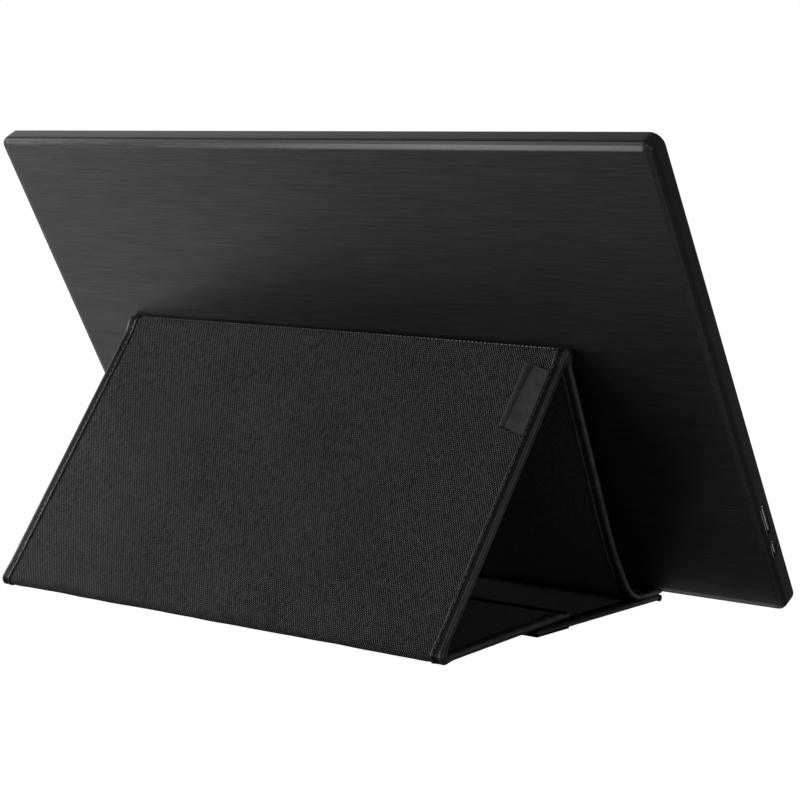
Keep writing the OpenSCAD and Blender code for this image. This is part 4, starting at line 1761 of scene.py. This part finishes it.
    def binding_section(self) -> list[Triple]:
        """Section of the edge binding.

        Returns:
            Its points, each as its distance from the cover's end, its side of the cover from -1 to 1, and its
            height above the cloth.
        """
        w, t = self.binding_w, self.binding_t
        face = [(w - a * MM, p * MM) for a, p in RAISED_EDGE]
        face += [(w - self.groove_w, t * 0.95), (w - 2.3 * MM, t)]
        face += [(2.1 * MM, t), (1.75 * MM, t * 1.12), (1.3 * MM, t * 1.2)]
        section = [(a, 1.0, p) for a, p in face]
        for k in range(1, 12):
            c, s = unit(90 - 15 * k)
            section.append((1.2 * MM * (1 - c ** 0.9), s, t * 1.2 * s))
        section += [(a, -1.0, -p) for a, p in reversed(face)]
        deep, slit = t + 0.05 * MM, w - 0.6 * MM
        return section + [(slit, -0.97, 0.0), (deep, -0.97, 0.0), (deep, 0.97, 0.0), (slit, 0.97, 0.0)]

    def binding_shape(self, stretch: Stretch, at_right: bool) -> tuple[np.ndarray, np.ndarray]:
        """How a binding changes along a stretch: it swells out at the folds, and is thin inside the rear one.

        Args:
            stretch: The stretch.
            at_right: Whether it is the binding at the end with the larger X.

        Returns:
            For each point of the stretch, how far the binding swells out and how thick its inner side is.
        """
        rails = stretch.rails
        count = len(rails.outer)
        swells = stretch.name == "ridge_fold" or (stretch.name == "rear_fold" and not at_right)
        swell = self.ridge_swell * np.sin(np.linspace(0, math.pi, count)) ** 4 * swells
        fold_at = {"rear": rails.outer_s[-1], "flap": rails.outer_s[0]}.get(stretch.name)
        if fold_at is None:
            return swell, np.ones(count)
        away = np.clip((np.abs(rails.outer_s - fold_at) - self.thin_for) / self.thin_fade, 0, 1)
        return swell, self.thin_share + (1 - self.thin_share) * away

    def binding(self, stretch: Stretch, at_right: bool) -> Piece:
        """Makes the binding at one end of a stretch, with a raised folded edge and a rounded rim.

        Args:
            stretch: The stretch.
            at_right: Whether it is the end with the larger X.

        Returns:
            The new piece.
        """
        rails, rings, uv = stretch.rails, [], []
        middle, half = (rails.outer + rails.inner) / 2, (rails.outer - rails.inner) / 2
        swell, thin = self.binding_shape(stretch, at_right)
        section = self.binding_section()
        for k, s in enumerate(rails.outer_s):
            toward = half[k] / np.linalg.norm(half[k])
            wave = math.sin(2 * math.pi * s / self.stitch_pitch)
            ring = []
            for a, side, proud in section:
                height = self.crest_ripple if self.binding_w - a < self.crest_w else self.ripple
                ripple = height * wave * min(1.0, abs(proud) / self.ripple_from)
                if stretch.smooth and 2 * MM < a < self.binding_w - 0.1 * MM:
                    proud = math.copysign(self.binding_t, proud)
                if side < 0:
                    proud, ripple = proud * thin[k], ripple * thin[k] ** 2
                a -= swell[k] * max(0.0, 1 - a / (self.binding_w - self.groove_w))
                normal = toward * np.sign(side)
                if abs(side) > 0.5:
                    normal = rails.outer_n[k] if side > 0 else rails.inner_n[k]
                y, z = middle[k] + half[k] * side + normal * (abs(proud) + ripple)
                ring.append((self.x1 - a if at_right else self.x0 + a, y, max(z, 0.0)))
            rings.append(ring)
            uv.append([(s, a) for a, _, _ in section])
        end = "right" if at_right else "left"
        piece = loft(f"{stretch.name}_binding_{end}", np.array(rings), uv=np.array(uv))
        self.shop.fit(piece, Finish.BINDING, "binding_leather", stretch.binding_nodes)

        def raised(centre: np.ndarray) -> bool:
            """Whether a point lies on the rounded rim or on the raised folded edge, which are painted lighter
            as a highlight.
            """
            away = min(self.x1 - centre[0], centre[0] - self.x0)
            return away < self.rim_w or (away > self.binding_w - self.rib_w and not stretch.smooth)

        def turned(centre: np.ndarray) -> bool:
            """Whether a point lies on the side that faces the monitor or the inside of the stand, which is
            painted lighter as light.
            """
            near = int(np.argmin(np.sum((middle - centre[1:]) ** 2, axis=1)))
            return float(np.dot(centre[1:] - middle[near], half[near])) < 0

        # The rim and the raised edge are painted lighter: painted highlight, with some rubbing
        self.shop.dress_part(piece, Finish.RAISED, raised)
        # That side gets lighter copies of the binding: painted light
        self.shop.dress_part(piece, Finish.TURNED, lambda centre: turned(centre) and not raised(centre))
        self.shop.dress_part(piece, Finish.TURNED_RAISED, lambda centre: turned(centre) and raised(centre))
        return piece

    def stitches(self, stretch: Stretch) -> Piece:
        """Makes the rows of stitches beside the raised edges of both bindings, on both faces.

        Args:
            stretch: The stretch.

        Returns:
            The new piece.
        """
        made, inset = [], self.binding_w - self.stitch_in
        for side in Side:
            along = stretch.rails.line(side)[2]
            first, last = math.ceil(along[0] / self.stitch_pitch), math.floor(along[-1] / self.stitch_pitch)
            for s in (number * self.stitch_pitch for number in range(first, last + 1)):
                if min(s - along[0], along[-1] - s) < self.stitch_l / 2:
                    continue
                point, normal = stretch.rails.spot(side, s)
                y, z = point + normal * (self.stitch_up + self.thread_t * 0.3)
                along_cloth = np.array([0.0, normal[1], -normal[0]])
                for x in (self.x0 + inset, self.x1 - inset):
                    middle = np.array([x, y, max(z, self.thread_t / 2)])
                    made.append(Stitch(middle, along_cloth, np.array([0.0, *normal])))
        piece = sew(f"{stretch.name}_stitches", made, self.stitch_l, self.thread_t)
        self.shop.fit(piece, Finish.THREAD, "binding_leather")
        return piece

    def carry(self, piece: Piece, stretch: Stretch) -> None:
        """Attaches a piece to the body of its stretch; a piece over a fold only has its transform baked, and
        is attached to neither body.

        Args:
            piece: The piece.
            stretch: Its stretch.
        """
        if stretch.bend is None:
            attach(piece, stretch.bodies[0])
        else:
            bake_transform(piece)
        log.info("%s: %s", " and ".join(stretch.bodies), piece.name)

    def dress_stretch(self, stretch: Stretch) -> None:
        """Makes and carries all pieces of a stretch."""
        pieces = [self.cloth(stretch, side) for side in Side]
        pieces += [self.binding(stretch, at_right) for at_right in (False, True)]
        pieces += [] if stretch.smooth else [self.stitches(stretch)]
        for piece in pieces:
            self.carry(piece, stretch)

    # ---- single pieces

    def ridge_seam(self, ridge: Stretch) -> None:
        """Makes the row of short stitches along the crest of the ridge.

        Args:
            ridge: The stretch over the ridge.
        """
        start, end = ridge.rails.outer_s[[0, -1]]
        count = int((self.width - 2 * self.binding_w) / self.ridge_pitch)
        first_x = self.x0 + (self.width - (count - 1) * self.ridge_pitch) / 2
        made = []
        for k in range(count):
            share = self.seam_share - self.seam_drift * min(1.0, 2 * k / count)
            point, normal = ridge.rails.spot(Side.OUTER, start + (end - start) * share)
            middle = np.array([first_x + k * self.ridge_pitch, *(point + normal * self.seam_up)])
            made.append(Stitch(middle, np.array([1.0, 0.0, 0.0]), np.array([0.0, *normal])))
        piece = sew("ridge_seam_stitches", made, self.ridge_stitch_l, self.seam_thread_t)
        self.shop.fit(piece, Finish.SEAM_THREAD, "woven_fabric", body="rear_panel")

    def edge_strip(self, name: str, at: np.ndarray, heading: float, body: str) -> None:
        """Makes the binding folded round a free edge that runs along X.

        Args:
            name: The piece's name.
            at: The middle of the edge in side view.
            heading: The direction that the edge faces.
            body: The body that it rides on.
        """
        forward, up = unit(heading), unit(heading + 90)
        thick, rim, flat_end, back = self.half_edge + 0.05 * MM, 0.7 * MM, -0.4 * MM, -self.strip_w
        face = [(back, self.half_core), (back + 0.15 * MM, thick - 0.1 * MM), (back + 0.6 * MM, thick)]
        face += [(back + 1.2 * MM, thick), (flat_end, thick)]
        turns = [unit(15 * k) for k in range(1, 12)]
        section = face + [(flat_end + (rim - flat_end) * s, thick * c) for c, s in turns]
        section += [(a, -b) for a, b in reversed(face)]
        rows, uv = [], []
        for x in np.linspace(self.x0 + 0.2 * MM, self.x1 - 0.2 * MM, STRIP_ROWS):
            wave = self.strip_ripple * math.sin(x / self.stitch_pitch)
            line = [(a, b + math.copysign(wave, b)) for a, b in section]
            rows.append([(x, *(at + forward * a + up * b)) for a, b in line])
            uv.append([(x, a) for a, _ in section])
        piece = loft(name, np.array(rows), uv=np.array(uv))
        self.shop.fit(piece, Finish.BINDING, "binding_leather", body=body)

    def base_panel(self) -> None:
        """The flat panel under the trough, with its own binding, hem, pad and seam."""
        front = self.bend_start[0] - self.floor_l + self.hem_r
        rear = self.bend_start[0] + self.base_reach
        marks = travel(np.array([front, self.base_z]), 0, [(rear - front, 0)], self.step)
        # Both faces of the base get the darker lining: painted shade
        floor = (Finish.SHADED_FLOOR_LINING, Finish.SHADED_FLOOR_LINING)
        base = self.panel("base", "base", marks, ("base_lining", "base_underside"), floor)
        base.rails.count_from(0.5, 0.5)
        self.dress_stretch(base)
        self.edge_strip("base_rear_edge", np.array([rear - 0.3 * MM, self.base_z]), 0, "base")
        self.hem(front)
        self.end_pad(rear)
        self.seam(front)

    def hem(self, front: float) -> None:
        """Makes the rolled hem along the base's front edge, a little flatter above its middle.

        Args:
            front: Where the base starts behind it, along Y.
        """
        sides = 20
        ring = [unit(360 * k / sides) * (1, 1 if k > sides / 2 else 0.96) for k in range(sides)]
        centre = np.array([front - self.hem_r, self.hem_r])
        rows, uv = [], []
        for x in np.linspace(self.x0, self.x1, HEM_ROWS):
            radius = self.hem_r * (1 + self.hem_ripple * math.sin(x / self.hem_wave))
            rows.append([(x, y, max(z, 0.0)) for y, z in (centre + radius * out for out in ring)])
            uv.append([(x, k * 0.5 * MM) for k in range(sides)])
        piece = loft("base_hem", np.array(rows), uv=np.array(uv))
        self.shop.fit(piece, Finish.BINDING, "binding_leather", ["base_front_hem"], "base")

    def end_pad(self, rear: float) -> None:
        """Makes the pad under the base's rear end, rounded all round.

        Args:
            rear: Where the base ends, along Y.
        """
        low = (self.x0 + 0.1 * MM, rear - self.pad_w, 0.0)
        high = (self.x1 - 0.1 * MM, rear, self.base_z - self.half_core)
        piece = rounded_box("base_pad", low, high, 0.25 * MM)
        self.shop.fit(piece, Finish.BINDING, "binding_leather", ["base_end_pad"], "base")

    def seam(self, front: float) -> None:
        """Makes the seam allowance between the trough and the base.

        Args:
            front: Where the base starts, along Y.
        """
        inset, gap = self.binding_w + 0.2 * MM, self.half_core + self.skin_gap
        low = (self.x0 + inset, front + 0.2 * MM, self.base_z + gap)
        high = (self.x1 - inset, front + self.strip_w, self.bend_start[1] - gap)
        piece = rounded_box("trough_seam", low, high, 0.2 * MM)
        self.shop.fit(piece, Finish.LINING, "lining_fabric", ["front_seam"], "base")

    def label_turn(self, t: float) -> Pair:
        """Where the tab turns over, and how high it is there, at a share of its length from the top."""
        return self.label_x1 - self.label_fold + self.label_taper * t, self.label_rise * (0.9 - 0.25 * t)

    def label_leaf(self, t: float) -> list[Pair]:
        """Section of the tab's flat leaf.

        Args:
            t: The share of the tab's length from its top.

        Returns:
            Its points, as (x, height above the cloth).
        """
        end, high = self.label_turn(t)
        start, root = self.label_x0, self.label_root
        upper = [(start + (end - start) * k / 8, root + (high - root) * (k / 8) ** 1.7) for k in range(9)]
        return upper + [(x, h - self.label_t) for x, h in reversed(upper)]

    def label_side(self, t: float) -> list[Pair]:
        """Section of the tab's folded side and of the leaf under it, which are painted dark as shade.

        Args:
            t: The share of the tab's length from its top.

        Returns:
            Its points, as (x, height above the cloth).
        """
        end, high = self.label_turn(t)
        high -= 0.03 * MM
        under, leaf_t = end - 0.4 * MM, 0.15 * MM
        turns = [unit(9 * k) for k in range(10)]
        curve = [(end + (self.label_x1 - end) * s, high * c ** 0.8) for c, s in turns]
        curve += [(self.label_x1, 0.0), (self.label_x0, 0.0), (self.label_x0, leaf_t), (under, leaf_t)]
        return [(under, high - 0.05 * MM)] + curve

    def label(self) -> None:
        """Makes the bare tab beside the binding: a flat leaf, and the side where it is folded over, which
        gets a darker copy of the leaf's leather as painted shade.
        """
        down, out = unit(-self.rear_slope), unit(90 - self.rear_slope)
        top = self.ridge_axis + down * (self.ridge_clear + self.label_down)
        top = top + out * (self.half_core + self.skin_gap)
        width = self.label_x1 - self.label_x0
        for name, section, finish in (
            ("label_leaf", self.label_leaf, Finish.LABEL),
            # The folded side gets the dark copy of the leather: painted shade
            ("label_side", self.label_side, Finish.SHADED_LABEL_SIDE),
        ):
            rows, uv = [], []
            for t in np.linspace(0, 1, LABEL_ROWS):
                row = []
                for x, h in section(t):
                    skew = self.label_skew * ((self.label_x1 - x) / width - 0.45)
                    row.append((x, *(top + down * (t * self.label_l + skew) + out * h)))
                rows.append(row)
                uv.append([(x, t * self.label_l) for x, _, _ in row])
            piece = loft(name, np.array(rows), uv=np.array(uv))
            self.shop.fit(piece, finish, "label_leather", ["label_tab"], "rear_panel")

    def build(self, nodes: dict[str, Piece]) -> None:
        """Makes the cover's pieces, and gives the ones inside it their finish.

        Args:
            nodes: The CAD pieces by name.
        """
        for name in ("base", "trough", "leg", "rear", "flap"):
            self.shop.dress(nodes[f"{name}_board"], Finish.BOARD)
        for name in ("base_magnets", "flap_magnets"):
            self.shop.dress(nodes[name], Finish.STEEL)
        stretches = self.stretches()
        for stretch in stretches:
            self.dress_stretch(stretch)
        lip, flap = stretches[0].rails, stretches[-1].rails
        self.edge_strip("lip_edge", (lip.outer[0] + lip.inner[0]) / 2, 90 - self.lean, "base")
        self.edge_strip("flap_edge", (flap.outer[-1] + flap.inner[-1]) / 2, self.flap_heading, "flap")
        self.ridge_seam(stretches[3])
        self.base_panel()
        self.label()


# -------- studio


@dataclass(frozen=True)
class Lamp:
    """A square soft lamp that is aimed at a point."""

    name: str
    at: Triple
    size: float
    power: float
    aim: Triple = (0.0, 0.0, 0.1)

    def build(self) -> None:
        """Makes the lamp."""
        data = bpy.data.lights.new(self.name, "AREA")
        data.shape, data.size, data.energy = "SQUARE", self.size, self.power
        lamp = bpy.data.objects.new(self.name, data)
        lamp.location = self.at
        lamp.rotation_mode = "QUATERNION"
        lamp.rotation_quaternion = (Vector(self.aim) - Vector(self.at)).to_track_quat("-Z", "Y")
        bpy.context.scene.collection.objects.link(lamp)


@dataclass
class Studio:
    """Camera, floor, backdrop and lamps."""

    eye: Triple = (-0.67938, 0.80415, 0.21874)
    gaze: Triple = (0.6234, -0.7728, -0.1194)
    lens: float = 103.05
    sensor: float = 36.0
    floor_half: float = 6.0
    floor_z: float = -0.2 * MM
    floor_level: float = 0.4
    floor_white: float = 1.06
    floor_share: float = 0.94
    soft_light: float = 0.26
    lamps: tuple[Lamp, ...] = (
        Lamp("lamp_front", (0.1, -1.6, 0.9), 0.4, 40.0),
        Lamp("lamp_top", (1.3, -0.5, 1.3), 0.9, 18.0),
        Lamp("lamp_left", (1.8, 0.3, 0.5), 0.8, 5.0),
        Lamp("lamp_low", (0.75, 0.35, 0.3), 0.3, 4.0, (0.35, 0.2, 0.0)),
        Lamp("lamp_rear", (0.6, 1.05, 0.15), 0.5, 5.0, (0.0, 0.05, 0.2)),
        Lamp("lamp_right", (-1.5, 0.6, 0.9), 0.8, 6.0),
    )

    def camera(self) -> None:
        """Makes the camera."""
        data = bpy.data.cameras.new("studio_camera")
        data.lens, data.sensor_width, data.clip_start, data.clip_end = self.lens, self.sensor, 0.01, 50.0
        camera = bpy.data.objects.new("studio_camera", data)
        camera.location = self.eye
        camera.rotation_mode = "QUATERNION"
        camera.rotation_quaternion = Vector(self.gaze).to_track_quat("-Z", "Y")
        bpy.context.scene.collection.objects.link(camera)
        bpy.context.scene.camera = camera

    @staticmethod
    def shader(tree: bpy.types.NodeTree, kind: str, **values: object) -> NodeSocket:
        """Adds a shader of one node.

        Args:
            tree: The node tree.
            kind: The node's type.
            values: Values of its sockets, by name.

        Returns:
            The shader's socket.
        """
        node = tree.nodes.new(kind)
        for key, value in values.items():
            node.inputs[key].default_value = value
        return node.outputs[0]

    @staticmethod
    def show(tree: bpy.types.NodeTree, end: str, plain: NodeSocket, white: NodeSocket, share: float) -> None:
        """Lets the camera's rays see white, and all others a plain shader.

        Args:
            tree: The node tree.
            end: The type of its output node.
            plain: The plain shader.
            white: The white shader.
            share: How much of what the camera sees is the white one.
        """
        output, mix = tree.nodes.new(end), tree.nodes.new("ShaderNodeMixShader")
        rays, part = tree.nodes.new("ShaderNodeLightPath"), tree.nodes.new("ShaderNodeMath")
        part.operation = "MULTIPLY"
        part.inputs[1].default_value = share
        tree.links.new(rays.outputs["Is Camera Ray"], part.inputs[0])
        for socket, source in zip(mix.inputs, (part.outputs[0], plain, white)):
            tree.links.new(source, socket)
        tree.links.new(mix.outputs[0], output.inputs["Surface"])

    def floor(self) -> None:
        """Makes a pale floor, white to the camera apart from a faint shadow."""
        half, z = self.floor_half, self.floor_z
        corners = np.array([(-half, -half, z), (half, -half, z), (half, half, z), (-half, half, z)])
        piece = build_piece("studio_floor", corners, [(0, 1, 2, 3)])
        material = bpy.data.materials.new("studio_floor")
        material.use_nodes = True
        tree = material.node_tree
        tree.nodes.clear()
        plain = self.shader(tree, "ShaderNodeBsdfDiffuse", Color=(*grey(self.floor_level), 1.0))
        white = self.shader(tree, "ShaderNodeEmission", Color=(1.0, 1.0, 1.0, 1.0), Strength=self.floor_white)
        self.show(tree, "ShaderNodeOutputMaterial", plain, white, self.floor_share)
        piece.data.materials.append(material)

    def world(self) -> None:
        """Makes a white backdrop for what the camera sees, and plain soft light for all else."""
        world = bpy.data.worlds.new("studio_world")
        bpy.context.scene.world = world
        world.use_nodes = True
        tree = world.node_tree
        tree.nodes.clear()
        plain, white = (
            self.shader(tree, "ShaderNodeBackground", Color=(1.0, 1.0, 1.0, 1.0), Strength=strength)
            for strength in (self.soft_light, 1.0)
        )
        self.show(tree, "ShaderNodeOutputWorld", plain, white, 1.0)

    def build(self) -> None:
        """Sets the whole studio up."""
        self.camera()
        self.floor()
        self.world()
        for lamp in self.lamps:
            lamp.build()
        bpy.context.scene.view_settings.view_transform = "Standard"


# -------- the whole part


def joint_point(frame: dict, name: str) -> np.ndarray:
    """The (y, z) place of a hinge in the frame."""
    joint = next(j for j in frame["joints"] if j["name"] == name)
    return np.array(joint["pos_m"][1:], float)


def monitor_foot(cover: Cover) -> np.ndarray:
    """Where the monitor stands, from the trough's floor and the ridge that it leans on.

    Args:
        cover: The cover.

    Returns:
        The lower edge of the monitor's back face, as (y, z).
    """
    c, s = unit(cover.lean)
    z = cover.bend_start[1] + cover.half_edge + cover.rest_gap - (Monitor.draft * c + Monitor.seam_d * s)
    y = cover.ridge_axis[0] - (cover.ridge_clear + s * (cover.ridge_axis[1] - z)) / c
    return np.array([y, z])


def main(frame: dict) -> None:
    """Builds the studio, the monitor and the cover, in that order.
    """
    logging.basicConfig(level=logging.INFO, format="%(name)s: %(message)s")
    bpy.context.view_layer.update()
    Studio().build()
    shop = Workshop()
    cover = Cover(shop, *(joint_point(frame, name) for name in ("leg_fold", "ridge_fold", "flap_fold")))
    monitor = Monitor(shop, monitor_foot(cover))
    monitor.build(frame["nodes"])
    cover.build(frame["nodes"])


if __name__ == "__main__":
    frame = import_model()
    main(frame)
